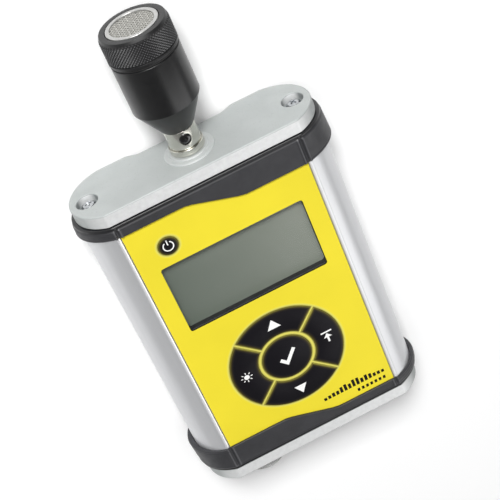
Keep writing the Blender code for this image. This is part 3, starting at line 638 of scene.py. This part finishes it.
def cap_surface():
    """Blasted casting with specks. Painted light makes the faces that point out of the front bright, the boss
    is a little lighter, and painted shade makes the counterbores dull.
    """
    made = surface("blasted_casting")
    x, y, z = made.place()
    _, facing_y, facing_z = made.axes("Normal")
    # Painted light: faces whose normal points out of the front get a bright, smoother, more metallic finish,
    # and the boss gets a little of it.
    land = facing_z.spread(0, 1, 0.6, 0.95) * (1 - abs(facing_y).spread(0, 1, 0.05, 0.3))
    boss = (distance(x, z - PROBE_Z) < BOSS_RADIUS + 0.15) * (y > CAP_END + 0.1)
    painted_front_light_and_boss = most(land, boss * 0.15)
    cast = made.patches(8.0, (160, 164, 163), (167, 171, 170))
    specks = made.noise(0.6, detail=1.0).spread(0, 0.5, 0.66, 0.74)
    cast = made.mix(specks, cast, (140, 144, 143))
    # Painted shade: the counterbores are coloured darker.
    painted_bore_shade = distance(abs(x) - SCREW_X, z - SCREW_Z) < COUNTERBORE_RADIUS + 0.1
    cast = made.mix(painted_bore_shade, cast, (134, 138, 138))
    bright = made.patches(2.0, (215, 216, 216), (225, 226, 226))
    made.look(Metallic=painted_front_light_and_boss * 0.2 + 0.12)
    roughness = made.patches(4.0, 0.54, 0.62) - painted_front_light_and_boss * 0.16
    return made.finish(made.mix(painted_front_light_and_boss, cast, bright), roughness, made.noise(0.25), 0.006)


def knurl_surface(name, axis, outer, low, high, plain, wear_and_painted_highlight, metallic, rough):
    """Plain metal or anodising whose points on a knurled band round an axis along y are paler, from wear and
    from a painted highlight.
    """
    made = surface(name, Metallic=metallic, IOR=1.5)
    x, y, z = made.place()
    cut = (y > low) * (y < high)
    point = distance(x - axis[0], z - axis[1]).spread(0, 1, outer - 0.25, outer)
    # The points are paler from wear and from a painted highlight.
    colour = made.mix(cut * point, made.patches(5.0, *plain), wear_and_painted_highlight)
    return made.finish(colour, made.patches(2.0, *rough) + cut * 0.12)


MATERIALS = {
    "nickel": plain_surface("nickel_plate", (208, 207, 198), (220, 219, 211), (0.2, 0.27),
        grain=0.5, patch=3.0, depth=0.002, Metallic=1.0),
    "ring": plain_surface("turned_ring", (180, 180, 178), (193, 193, 191), (0.34, 0.42),
        grain=0.3, patch=2.0, depth=0.002, Metallic=0.9),
    "wire": plain_surface("mesh_wire", (164, 163, 158), (178, 177, 172), (0.46, 0.56),
        grain=0.2, patch=1.0, depth=0.002, Metallic=0.4),
    "screw": plain_surface("zinc_plate", (170, 173, 176), (196, 198, 200), (0.2, 0.34),
        grain=0.3, patch=1.0, Metallic=1.0),
    "spring": plain_surface("spring_strip", (176, 178, 180), (200, 202, 204), (0.2, 0.32),
        patch=2.0, depth=0.002, Metallic=1.0),
    "black": plain_surface("black_anodised", (13, 13, 14), (18, 18, 19), (0.29, 0.35),
        grain=0.2, patch=4.0, depth=0.002, IOR=1.54),
    "oxide": plain_surface("black_oxide", (10, 10, 11), (14, 14, 15), (0.12, 0.18),
        patch=1.5, depth=0.006, IOR=1.8),
    "plastic": plain_surface("black_plastic", (24, 24, 25), (32, 32, 33), (0.45, 0.6), grain=0.3, patch=3.0),
    "seal": plain_surface("seal_rubber", (20, 20, 20), (28, 28, 28), (0.55, 0.7), patch=3.0),
    "foam": plain_surface("open_foam", (14, 14, 14), (34, 34, 34), (0.9, 1.0),
        grain=0.5, patch=0.8, depth=0.15),
    "white": plain_surface("white_print", (236, 236, 234), (246, 246, 244), (0.45, 0.55), patch=2.0),
    "print": plain_surface("black_print", (14, 13, 11), (20, 19, 17), (0.45, 0.55),
        patch=2.0, Specular_IOR_Level=0.14),
    "guide": plain_surface("light_guide", (214, 214, 206), (226, 226, 220), (0.4, 0.5)),
    "board": plain_surface("solder_mask", (20, 74, 42), (34, 96, 58), (0.35, 0.5),
        grain=0.6, patch=3.0, depth=0.01),
    "cell": plain_surface("shrink_wrap", (46, 80, 132), (56, 94, 148), (0.3, 0.42), patch=9.0),
    "film": film_surface(),
    "lcd": lcd_surface(),
    "window": window_surface(),
    "housing": housing_surface(),
    "bezel": bezel_surface(),
    "cap": cap_surface(),
    "knurl": knurl_surface("black_knurling", PROBE_AT, CAP_RADIUS + 0.05, KNURL_LOW, KNURL_HIGH,
        ((15, 15, 16), (21, 21, 22)), (104, 104, 106), 0.0, (0.36, 0.44)),
    # The knob's colours are kept light as painted light, in place of the light that the cap's shade takes
    # from it. Its points are near white from wear and painted highlight.
    "knob": knurl_surface("knurled_aluminium", KNOB_AT, KNOB_RADIUS, KNOB_LOW, KNOB_HIGH,
        ((176, 176, 175), (188, 188, 187)), (250, 250, 248), 0.35, (0.26, 0.34)),
}


# ---- case ----


def window_outline(grow):
    radius = WINDOW_RADIUS + max(grow, 0)
    return rounded_rectangle(WINDOW_HALF_WIDTH + grow, WINDOW_HALF_HEIGHT + grow, radius, (0, WINDOW_Y))


def make_housing():
    deck = (CAVITY_FRONT - 1, CASE_FRONT + 1)
    holes = [
        along_y(cavity_outline(), (-HOUSING_END - 5, HOUSING_END + 5)),
        plate(window_outline(1.4), *deck),
        plate(circle(KEYPAD_RADIUS + 0.6, 96, (0, KEYPAD_Y)), *deck),
        plate(circle(POWER_RADIUS + 0.6, 32, POWER_AT), *deck),
    ]
    case = along_y(housing_outline(), (-HOUSING_END, HOUSING_END))
    weighted(piece("case_extrusion", case, "meter", "housing", ["housing"], holes=holes))


def bezel_edge(x):
    """The body-side edge of a bezel: low on one side, high on the other, with soft corners between."""
    total = 0.0
    for step in (-2, -1, 0, 1, 2):
        share = limited((x + step + BEZEL_SLOPE_HALF_WIDTH) / (2 * BEZEL_SLOPE_HALF_WIDTH))
        total += BEZEL_NARROW_EDGE + (BEZEL_WIDE_EDGE - BEZEL_NARROW_EDGE) * share
    return total / 5


def case_back_at(x):
    share = limited((abs(x) - CHANNEL_HALF_WIDTH) / (PAD_INNER_EDGE - CHANNEL_HALF_WIDTH))
    return CHANNEL_FLOOR + (CASE_BACK - CHANNEL_FLOOR) * share


def bezel_stations():
    """Places round the right half of a bezel, from the front's middle to the back's.

    Each is a function of the half width that gives the outer point and normal, with the matching points of
    the housing's outline and of the opening inside it.
    """
    gap, overlap = 0.3, 5.0
    stations = []
    beside_corner = [38.0 + 0.2 * step for step in range(16)]
    for x in [*range(0, 34, 3), 35.5, 37.5, *beside_corner]:
        clear = gap if x < PANEL_HALF_WIDTH else CASE_FRONT + gap
        inside = (min(x, 38.0), CASE_FRONT - overlap)
        stations.append((lambda width, x=x: ((x, BEZEL_FRONT), (0, 1)), (x, clear), inside))
    steps = 56
    housing_start = math.degrees(math.asin((CASE_FRONT - SIDE_Z) / SIDE_RISE))
    housing_end = math.degrees(math.asin((CASE_BACK - SIDE_Z) / SIDE_RISE))
    for step in range(1, steps):
        share = step / steps

        def outer(width, share=share):
            reach = width - SIDE_X
            crease = math.degrees(math.acos((BEZEL_CREASE - SIDE_X) / reach))
            angle = math.radians(crease - share * (crease + 90))
            rise = (BEZEL_FRONT - SIDE_Z) / math.sin(math.radians(crease))
            if angle < 0:
                rise = SIDE_Z - BEZEL_BACK
            across, up = math.cos(angle), math.sin(angle)
            normal = Vector((across / reach, up / rise)).normalized()
            return (SIDE_X + reach * across, SIDE_Z + rise * up), tuple(normal)

        angle = math.radians(housing_start + (housing_end - housing_start) * share)
        across, up = math.cos(angle), math.sin(angle)
        clear = (SIDE_X + (SIDE_REACH + gap) * across, SIDE_Z + (SIDE_RISE + gap) * up)
        inside = (SIDE_X + (SIDE_REACH - overlap) * across, SIDE_Z + (SIDE_RISE - overlap) * up)
        stations.append((outer, clear, inside))
    for x in (32.9, 30, 27, 23.6, 21, 18.4, 15, 11, 7, 3, 0):
        clear = (x + (0.11 * x if x > 30 else 0), case_back_at(x) - gap)
        inside = (x, case_back_at(x) + overlap)
        stations.append((lambda width, x=x: ((x, BEZEL_BACK), (0, -1)), clear, inside))
    return stations


def rim(inward, radius):
    """How far a rounded edge of that radius lies below the flat, at a distance inward from the edge."""
    if inward >= radius:
        return 0.0
    return radius - math.sqrt(radius**2 - (radius - inward) ** 2)


def hollow(off, half_width):
    """1 in the middle of a soft groove or bump, falling to 0 at its half width."""
    if abs(off) >= half_width:
        return 0.0
    return 0.5 + 0.5 * math.cos(math.pi * off / half_width)


def bezel_relief(x, z, from_cap, from_body):
    """Height of the bezel's surface above its plain outline."""
    from_land = from_cap - LAND
    on_side = limited((abs(x) - BEZEL_CORNER + 1) / 2)
    rims = rim(from_cap, 0.5) + rim(from_body, 0.3 + 0.5 * on_side)
    land = 0.3 * (1 - limited(from_land / 0.7))
    side_groove = 0.14 * on_side * hollow(from_body - 1.4, 0.5)
    height = -rims - land - side_groove
    if z > BEZEL_BACK + 3:
        fine_ridge = 0.04 * hollow(from_land - 1.0, 0.6)
        height += fine_ridge
    if z > 0:
        off = abs(x) - BEZEL_CORNER
        corner_groove = 0.55 * hollow(off, 0.9)
        corner_ridges = 0.32 * (hollow(off - 1.15, 0.6) + hollow(off + 1.15, 0.6))
        knot = 0.4 * hollow(math.hypot(off, (from_land - 0.3) * 0.9), 1.2)
        height += limited(from_land / 0.8) * (corner_ridges - corner_groove) + knot
    return height


def make_bezel(name, node, end):
    """One bezel. Both are the same moulding, turned half a turn about z for the other end."""
    half = bezel_stations()
    stations = [(1, station) for station in half]
    stations += [(-1, station) for station in reversed(half[1:-1])]
    near_cap = [0, 0.06, 0.16, 0.3, 0.5, 0.8, 1.1, 1.3, 1.5, 1.7, 1.9, 2.1, 2.3, 2.5, 2.8, 3.2]
    near_body = [2.0, 1.75, 1.55, 1.4, 1.25, 1.05, 0.8, 0.6, 0.38, 0.2, 0.08, 0.0]
    inner_end = HOUSING_END + 0.3
    sections = []
    for side, (outer, clear, inside) in stations:
        edge = bezel_edge(side * outer(BEZEL_HALF_WIDTH_AT_CAP)[0][0])
        length = BEZEL_END - edge
        room = length - near_body[0] - near_cap[-1]
        places = near_cap + [near_cap[-1] + room * share for share in (0.3, 0.65)]
        places += [length - back for back in near_body]
        section = []
        for place in places:
            (x, z), (across, up) = outer(BEZEL_HALF_WIDTH_AT_CAP + BEZEL_FLARE * place)
            height = bezel_relief(x, z, place, length - place)
            section.append((x + across * height, BEZEL_END - place, z + up * height))
        for (x, z), y in ((clear, edge), (clear, inner_end), (inside, inner_end), (inside, BEZEL_END)):
            section.append((x, y, z))
        sections.append([(end * side * x, end * y, z) for x, y, z in section])
    shape = loft(sections, looped=True)
    weighted(piece(name, shape, "meter", "bezel", [node], sharp=40))


def cap_blank(end):
    """An end cap before cutting, with a small chamfer at the bezel and a fillet round its face."""
    crease, chamfer = 5.0, 0.25
    fillet = CAP_FILLET if end > 0 else CAP_FILLET / 2
    levels = [(-chamfer, CAP_START), (0, CAP_START + chamfer)]
    for y_share, inset_share in reversed(arc(1, 0, 90, 8)):
        levels.append((fillet * (inset_share - 1), CAP_END - fillet + fillet * y_share))
    return loft([[(x, end * y, z) for x, z in case_outline(grow, crease)] for grow, y in levels])


def counterbore(end, side):
    """A cutter with a small chamfer at the mouth and a through hole for the screw."""
    chamfer = 0.35
    through, hole = CAP_START - 8, 2.0
    radius, floor = COUNTERBORE_RADIUS, COUNTERBORE_FLOOR
    profile = [(0, through), (hole, through), (hole, floor), (radius - 0.3, floor), (radius, floor + 0.3),
               (radius, CAP_END - chamfer), (radius + chamfer + 1, CAP_END + 1), (0, CAP_END + 1)]
    return turned([(radius, end * along) for radius, along in profile], 64, (side * SCREW_X, SCREW_Z))


def make_cap(name, node, end, joined, holes):
    middle = (SPIGOT_FRONT + SPIGOT_BACK) / 2
    spigot = rounded_rectangle(SPIGOT_HALF_WIDTH, (SPIGOT_FRONT - SPIGOT_BACK) / 2, 3.0, (0, middle))
    joined = [along_y(spigot, (end * SPIGOT_START, end * (CAP_START + 1))), *joined]
    holes = [counterbore(end, 1), counterbore(end, -1), *holes]
    weighted(piece(name, cap_blank(end), "meter", "cap", [node], joined, holes))


def make_caps():
    foot = 75.5  # inside the cap
    boss = [(0, foot), (BOSS_RADIUS, foot), (BOSS_RADIUS, BOSS_TOP), (BOSS_STEP_RADIUS, BOSS_TOP),
            (BOSS_STEP_RADIUS, BOSS_STEP_TOP), (0, BOSS_STEP_TOP)]
    boss = turned(rounded(boss, 0.55), 128, PROBE_AT)
    inside, outside = 60, 85
    socket_hole = rod(SOCKET_BORE, inside, outside, 64, PROBE_AT)
    make_cap("top_end_cap", "top_cap", 1, [boss], [socket_hole])
    port = rounded_rectangle(4.8, 2.0, 0.6, PORT_AT, 4)
    holes = [rod(3.9, -inside, -outside, 48, KNOB_AT),
             rod(3.3, -inside, -outside, 48, JACK_AT),
             along_y(port, (-inside, -outside))]
    make_cap("bottom_end_cap", "bottom_cap", -1, [], holes)


def make_screws():
    """Cross-head screws in the counterbores of the caps."""
    tip, shank = 61, 1.6
    seat, radius, front = COUNTERBORE_FLOOR + 0.3, SCREW_HEAD_RADIUS, SCREW_HEAD_FRONT
    profile = [(0, tip), (shank - 0.5, tip), (shank, tip + 1), (shank, seat), (radius, seat),
               (radius, front - 1.1), (2.3, front - 0.25), (1.2, front), (0, front)]
    corners = [(end, side) for end in (1, -1) for side in (1, -1)]
    for number, (end, side) in enumerate(corners, 1):
        at = (side * SCREW_X, SCREW_Z)
        shape = turned([(radius, end * along) for radius, along in rounded(profile, 0.3)], 48, at)
        cross = [cross_cutter(end, at, quarter) for quarter in (0, 1)]
        node = f"case_screw_{number}"
        piece(f"end_screw_{number}", shape, "meter", "screw", [node], holes=cross)


def cross_cutter(end, at, quarter):
    """One arm of a cross recess, narrower towards its floor. The screws stand at different turns."""
    turn = Matrix.Rotation(math.radians(20 + 30 * at[0] / SCREW_X), 2)
    rings = []
    for depth, arm, web in ((1.3, 0.9, 0.2), (-0.5, 1.9, 0.42)):
        across, up = (web, arm) if quarter else (arm, web)
        corners = [(across, up), (-across, up), (-across, -up), (across, -up)]
        corners = [turn @ Vector(corner) for corner in corners]
        rings.append([(at[0] + x, end * (SCREW_HEAD_FRONT - depth), at[1] + z) for x, z in corners])
    return loft(rings)


# ---- front ----

KEYS = {"key_right": 0, "key_up": 90, "key_left": 180, "key_down": 270}


def make_overlay():
    through = (-3, 3)
    holes = [plate(window_outline(0), *through)]
    for direction in KEYS.values():
        holes.append(plate(key_sector(RIB_OUTER, KEYPAD_RADIUS, SPOKE / 2, direction), *through))
    holes.append(plate(circle(RIB_INNER, 96, (0, KEYPAD_Y)), *through))
    holes.append(plate(circle(POWER_RADIUS, 64, POWER_AT), *through))
    sheet = plate(rounded_rectangle(PANEL_HALF_WIDTH, PANEL_HALF_LENGTH, 1.0), -PANEL_THICKNESS, 0)
    overlay = piece("panel_overlay", sheet, "meter", "film", ["front_overlay"], holes=holes)
    bevel = overlay.modifiers.new("edge", "BEVEL")
    bevel.width = 0.1 * MM
    bevel.segments = 2
    bevel.limit_method = "ANGLE"
    weighted(overlay)


def make_key(name, body, outline_at, back=KEY_BACK):
    """A key with a rounded front edge, from its outline as a function of the inset."""
    levels = [(0.0, back), (0.0, KEY_TOP - 0.18), (0.05, KEY_TOP - 0.06), (0.16, KEY_TOP)]
    shape = loft([[(x, y, z) for x, y in outline_at(inset)] for inset, z in levels])
    piece(f"{name}_cap", shape, body, "film", [name])


def make_keys():
    for name, direction in KEYS.items():

        def outline_at(inset, direction=direction):
            clear = KEY_CLEARANCE + inset
            return key_sector(RIB_OUTER + clear, KEYPAD_RADIUS - clear, SPOKE / 2 + clear, direction)

        make_key(name, name.replace("key_", "") + "_key", outline_at)
    make_key("key_center", "center_key",
             lambda inset: circle(RIB_INNER - KEY_CLEARANCE - inset, 96, (0, KEYPAD_Y)))
    make_key("key_power", "power_key",
             lambda inset: circle(POWER_RADIUS - KEY_CLEARANCE - inset, 64, POWER_AT),
             POWER_KEY_BACK)


def make_mark(name, body, outlines, base=KEY_TOP, material="white"):
    """A printed mark: flat outlines with the thickness of the ink."""
    shape = bmesh.new()
    for outline in outlines:
        plate(outline, base + 0.005, base + PRINT, shape)
    piece(name, shape, body, material)


def band(radius, width, start, end, centre):
    outer = arc(radius + width / 2, start, end, 40, centre)
    return outer + arc(radius - width / 2, end, start, 40, centre)


def bar(start, end, width):
    """A straight stroke between two points."""
    start, end = Vector(start), Vector(end)
    side = (end - start).normalized().orthogonal() * width / 2
    return [tuple(start + side), tuple(end + side), tuple(end - side), tuple(start - side)]


def make_marks():
    middle = (RIB_OUTER + KEYPAD_RADIUS) / 2
    up = KEYPAD_Y + middle + 0.4
    make_mark("mark_up", "up_key", [[(-3.1, up - 2.5), (3.1, up - 2.5), (0, up + 2.4)]])
    down = KEYPAD_Y - middle - 0.4
    make_mark("mark_down", "down_key", [[(-2.9, down + 2.2), (2.9, down + 2.2), (0, down - 2.5)]])
    check = [(-4.0, -0.1), (-2.9, 1.2), (-1.0, -0.9), (3.3, 4.6), (4.6, 3.6), (-0.9, -3.5)]
    make_mark("mark_check", "center_key", [[(x + 0.1, y + KEYPAD_Y - 0.8) for x, y in check]])
    sun = (-middle, KEYPAD_Y)
    rays = [circle(1.25, 32, sun)]
    rays += [bar(start, end, 0.42) for start, end in zip(circle(1.75, 8, sun), circle(2.7, 8, sun))]
    make_mark("mark_sun", "left_key", rays)
    x, y = middle, KEYPAD_Y
    arrow = [(-0.45, -2.9), (0.45, -2.9), (0.45, -0.3), (1.9, -0.3), (0, 1.9), (-1.9, -0.3), (-0.45, -0.3)]
    arrow = [(x + across, y + up) for across, up in arrow]
    make_mark("mark_to_top", "right_key", [arrow, bar((x - 2.5, y + 2.7), (x + 2.5, y + 2.7), 0.75)])
    x, y = POWER_AT
    stroke = 0.5
    ring = band(2.15, stroke, 120, 420, POWER_AT)
    stem = bar((x, y + 0.5), (x, y + 2.95), stroke)
    make_mark("mark_power", "power_key", [ring, stem])
    bars = []
    foot = -60.2
    for number in range(15):
        x = 7.6 + 2.02 * number
        height = 1.5 + 2.6 * math.sin(math.pi * (number + 1) / 16) ** 2 * (1 if number % 3 else 0.55)
        bars.append(bar((x, foot), (x, foot + height), 1.35))
    for number in range(7):
        x = 23.0 + 2.1 * number
        bars.append(bar((x, -64.0), (x, -62.3), 1.2))
    make_mark("mark_level_bars", "meter", bars, 0.0, "print")


def make_display():
    back, front = GASKET_BACK, RECESS_FLOOR
    section = ((0, back), (1.1, back), (1.1, front), (0.15, front), (0, front - 0.2))
    gasket = loft([[(x, y, z) for x, y in window_outline(grow)] for grow, z in section], looped=True)
    piece("window_gasket", gasket, "meter", "plastic", ["display_gasket"])
    pane = plate(window_outline(-0.3), back + 0.2, back + 1.0)
    piece("window_pane", pane, "meter", "window", ["display_window"])
    glass = plate(rounded_rectangle(34.5, 20.0, 0.3, (0, WINDOW_Y), 2), back - 1.4, back - 0.3)
    piece("lcd_panel", glass, "meter", "lcd", ["lcd_glass"])


# ---- probe ----


def make_turned(name, profile, body, material, nodes, edge, at=PROBE_AT, segments=128, holes=()):
    """A turned piece with rounded edges. Only a profile that starts off the axis closes on itself."""
    shape = turned(rounded(profile, edge, closed=profile[0][0] > 0), segments, at)
    piece(name, shape, body, material, nodes, holes=holes)


def knurled_band(outer, low, high, around, rows, root, at, shape):
    """A band of pointed diamonds round an axis along y, from the root radius up to outer, a function of y."""
    columns = 2 * around
    loops = []
    for row in range(rows + 1):
        along = low + (high - low) * row / rows
        ring = []
        for column, (across, up) in enumerate(circle(1, columns)):
            on_peak = (row + column) % 2 == 0 and 0 < row < rows
            reach = outer(along) if on_peak else min(root, outer(along))
            ring.append(shape.verts.new((at[0] + reach * across, along, at[1] + reach * up)))
        loops.append(ring)
    for row in range(rows):
        for column in range(columns):
            after = (column + 1) % columns
            a, b = loops[row][column], loops[row][after]
            c, d = loops[row + 1][after], loops[row + 1][column]
            halves = ((a, b, c), (a, c, d)) if (row + column) % 2 else ((a, b, d), (b, c, d))
            for corners in halves:
                shape.faces.new(corners)


def make_probe():
    nut = tube(SOCKET_BORE, 7.35, BOSS_STEP_TOP + 0.3, COLLAR_LOW - 0.15)
    make_turned("ring_nut", nut, "meter", "nickel", ["socket_nut"], 0.2)
    collar = tube(SOCKET_BORE, COLLAR_RADIUS, COLLAR_LOW, COLLAR_HIGH)
    hole = turned_upright(tube(0, 2.5, PROBE_Z + 3, PROBE_Z + 9), 48, (0, GRUB_Y))
    make_turned("collar", collar, "probe", "nickel", ["probe_collar"], 0.1, holes=[hole])
    top, radius = PROBE_Z + 6.5, 2.36
    grub = [(0, top - 1.6), (radius, top - 1.6), (radius, top - 0.45), (2.0, top - 0.1), (1.4, top), (0, top)]
    grub = turned_upright(rounded(grub, 0.2), 48, (0, GRUB_Y))
    socket = plate(circle(0.95, 6, (0, GRUB_Y)), top - 0.9, top + 1)
    piece("grub_screw", grub, "probe", "oxide", ["probe_grub_screw"], holes=[socket])
    neck, bore, neck_end = 11.2, 9.6, 131.5
    barrel = [(0, CONE_START), (6.9, CONE_START), (BODY_RADIUS, CONE_END), (BODY_RADIUS, BODY_END),
              (neck, BODY_END), (neck, neck_end), (bore, neck_end), (bore, 101), (0, 101)]
    make_turned("probe_barrel", barrel, "probe", "black", ["probe_body"], 0.3)
    seal = tube(11.5, 13.7, BODY_END + 0.15, CAP_LOW - 0.2)
    make_turned("seal_ring", seal, "probe", "seal", ["probe_seal"], 0.2)


def make_probe_cap():
    """The knurled cap: a plain rim below, diamond knurling, and a plain band with a chamfer above."""
    low, high = KNURL_LOW, KNURL_HIGH
    root = CAP_RADIUS - 0.36
    chamfer_start, chamfer_slope = 135.2, 0.42

    def outer(along):
        return CAP_RADIUS + 0.05 - chamfer_slope * max(along - chamfer_start, 0)

    lower = [(CAP_BORE, CAP_LOW), (CAP_RADIUS, CAP_LOW), (CAP_RADIUS, low - 0.1), (root, low)]
    upper = [(outer(high), high), (13.26, CAP_HIGH), (CAP_LIP, CAP_HIGH), (CAP_LIP, CAP_FLOOR),
             (CAP_BORE, CAP_FLOOR)]
    lower, upper = rounded(lower, 0.15), rounded(upper, 0.2)
    shape = bmesh.new()
    segments = 132
    for profile in (lower, upper, [upper[-1], lower[0]]):
        turned(profile, segments, PROBE_AT, shape, closed=False)
    knurled_band(outer, low, high, segments // 2, 14, root, PROBE_AT, shape)
    piece("knurled_cap", shape, "knurled_cap", "knurl", ["probe_cap"], sharp=12)
    ring = tube(GRILLE_INNER, GRILLE_OUTER, CAP_FLOOR + 1, CAP_HIGH + 0.2)
    make_turned("bright_ring", ring, "grille", "ring", ["grille_ring"], 0.3)


def make_mesh():
    """Woven wire cloth: two sets of waved wires that pass over and under each other in turn."""
    reach, middle = GRILLE_INNER + 0.5, 136.5
    pitch, thickness, wave = 1.25, 0.25, 0.16
    shape = bmesh.new()
    count = int(reach / pitch)
    wires = [(direction, number) for direction in (0, 1) for number in range(-count, count + 1)]
    for direction, number in wires:
        across = number * pitch
        half = math.sqrt(max(reach**2 - across**2, 0)) - 0.05
        steps = max(6, int(2 * half / pitch * 5))
        rings = []
        for step in range(steps + 1):
            along = -half + 2 * half * step / steps
            phase = math.pi * (along / pitch + number + direction)
            lift = wave * math.cos(phase)
            tangent = Vector((1, -wave * math.pi / pitch * math.sin(phase))).normalized()
            ring = []
            for sideways, up in circle(thickness, 6):
                first, second = along - up * tangent.y, across + sideways
                if direction:
                    first, second = second, first
                ring.append((first, middle + lift + up * tangent.x, PROBE_Z + second))
            rings.append(ring)
        loft(rings, shape=shape)
    turn = Matrix.Rotation(math.radians(45), 3, "Y")
    bmesh.ops.rotate(shape, verts=shape.verts, cent=Vector((0, 0, PROBE_Z)), matrix=turn)
    piece("wire_mesh", shape, "grille", "wire", ["grille_mesh"], sharp=70)
    foam = [(0, 134.2), (8.6, 134.2), (8.6, 135.9), (0, 136.0)]
    make_turned("foam_disc", foam, "grille", "foam", ["grille_foam"], 0.3, segments=64)


# ---- bottom controls ----


def make_knob():
    segments = 92
    radius, root = KNOB_RADIUS, KNOB_RADIUS - 0.6
    front = [(0, KNOB_FACE + 0.7), (4.2, KNOB_FACE + 0.6), (5.0, KNOB_FACE + 0.1), (radius - 0.8, KNOB_FACE),
             (radius, KNOB_FACE + 0.7), (radius, KNOB_LOW - 0.1), (root, KNOB_LOW)]
    back = [(root, KNOB_HIGH), (radius, KNOB_HIGH + 0.1), (radius, KNOB_BACK), (2.3, KNOB_BACK), (2.3, -84.3),
            (0, -84.3)]
    shape = bmesh.new()
    turned(rounded(front, 0.2), segments, KNOB_AT, shape, closed=False)
    turned(rounded(back, 0.25), segments, KNOB_AT, shape, closed=False)
    knurled_band(lambda along: radius, KNOB_LOW, KNOB_HIGH, segments // 2, 8, root, KNOB_AT, shape)
    piece("knurled_knob", shape, "volume", "knob", ["volume_knob"], sharp=12)


def make_jack():
    body, neck, bore = 5, 3, 1.8
    jack = [(0, -57), (body, -57), (body, -67.8), (neck, -67.8), (neck, -80.0), (bore, -80.0), (bore, -60),
            (0, -60)]
    make_turned("jack_socket", jack, "meter", "plastic", ["headphone_jack"], 0.2,
                JACK_AT, 64)
    nut = tube(3.3, 4.8, -78.4, -79.7)
    notches = [rod(0.55, -79.2, -81, 16, place) for place in arc(4.6, 45, 315, 3, JACK_AT)]
    make_turned("jack_ring_nut", nut, "meter", "nickel", ["jack_nut"], 0.25, JACK_AT, 64, notches)


def make_port():
    """A metal charging port: a thin shell, with its contact tongue in the mouth."""
    shell = along_y(rounded_rectangle(4.5, 1.7, 1.5, PORT_AT), (-78.0, -66.0))
    mouth = along_y(rounded_rectangle(4.2, 1.4, 1.25, PORT_AT), (-85, -70))
    piece("port_shell", shell, "meter", "nickel", ["charging_port"], holes=[mouth])
    tongue = along_y(rounded_rectangle(3.1, 0.35, 0.15, PORT_AT, 3), (-77.2, -69.5))
    piece("port_tongue", tongue, "meter", "plastic")


# ---- inner pieces ----

CARRIED = {
    "guide": ["lcd_backlight"],
    "plastic": ["lcd_frame", "board_connector", "power_switch", "battery_tray"],
    "board": ["main_board", "keypad_board", "preamp_board"],
    "spring": ["dome_center", "dome_up", "dome_down", "dome_left", "dome_right",
               "battery_contact_low", "battery_contact_high"],
    "nickel": ["sensor_socket", "probe_plug", "pot_shaft"],
    "ring": ["mic_capsule"],
    "screw": ["pot_body"],
    "cell": ["battery_cell_1", "battery_cell_2", "battery_cell_3", "battery_cell_4"],
}


def finish_carried():
    """The CAD nodes that stay get a finish of their own."""
    for material, nodes in CARRIED.items():
        for name in nodes:
            paint(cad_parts[name], material)


# ---- stage ----

CAMERA_AT = Vector((-0.02704, 0.33529, 0.48510))
CAMERA_LOOKS_AT = Vector((0.00433, 0.00692, 0.0354))
PICTURE_UP = Vector((0.44929, 0.73614, -0.50619))
CAMERA_LENS = 99.54


def facing(at, target, up):
    """A matrix at a place whose -z axis points to the target and whose y axis is nearest to up."""
    back = (at - target).normalized()
    right = up.cross(back).normalized()
    turned_up = back.cross(right)
    matrix = Matrix((right, turned_up, back)).transposed().to_4x4()
    matrix.translation = at
    return matrix


def make_camera():
    data = bpy.data.cameras.new("camera")
    data.lens = CAMERA_LENS
    data.sensor_width = 36
    data.clip_start = 0.01
    camera = new_object("camera", data)
    camera.matrix_world = facing(CAMERA_AT, CAMERA_LOOKS_AT, PICTURE_UP)
    bpy.context.scene.camera = camera


def make_light(name, direction, away, size, radiance):
    """A soft box in a direction from the meter, with a brightness that doesn't depend on its size."""
    data = bpy.data.lights.new(name, "AREA")
    data.shape = "RECTANGLE"
    data.size, data.size_y = size
    data.energy = radiance * math.pi * size[0] * size[1]
    light = new_object(name, data)
    at = Vector(direction).normalized() * away
    light.matrix_world = facing(at, Vector((0, 0, 0.02)), Vector((0, 1, 0)))
    return light


def make_stage():
    shape = bmesh.new()
    bmesh.ops.create_grid(shape, x_segments=8, y_segments=8, size=3.0)
    mesh = bpy.data.meshes.new("floor")
    shape.to_mesh(mesh)
    shape.free()
    paper = surface("floor_paper")
    mesh.materials.append(paper.finish(paper.patches(300.0, (248, 248, 248), (250, 250, 250)), 0.9))
    new_object("floor", mesh)
    world = bpy.data.worlds.new("studio")
    bpy.context.scene.world = world
    sky = Shading(world, "Background", Color=(255, 255, 255))
    x, _, z = sky.axes("Generated")
    # The room is brighter near the floor and on the meter's left.
    sky.look(Strength=z.spread(0.4, 0.12, -0.2, 0.9) - x * 0.13)
    make_light("key_box", direction=(-0.08, 1.0, 0.9), away=2.6, size=(0.62, 0.62), radiance=52.9)
    make_light("top_box", direction=(-0.05, 0.5, 1.0), away=2.8, size=(2.8, 2.2), radiance=2.0)
    # The strip is only seen as a reflection, in the housing's right side.
    strip = make_light("strip_box", direction=(0.52, -0.59, 0.61), away=1.2, size=(1.25, 0.5), radiance=2.3)
    strip.visible_diffuse = False
    bpy.context.scene.view_settings.view_transform = "Standard"


make_camera()
make_stage()
make_housing()
make_bezel("upper_bezel", "top_bezel", 1)
make_bezel("lower_bezel", "bottom_bezel", -1)
make_caps()
make_screws()
make_overlay()
make_keys()
make_marks()
make_display()
make_probe()
make_probe_cap()
make_mesh()
make_knob()
make_jack()
make_port()
finish_carried()
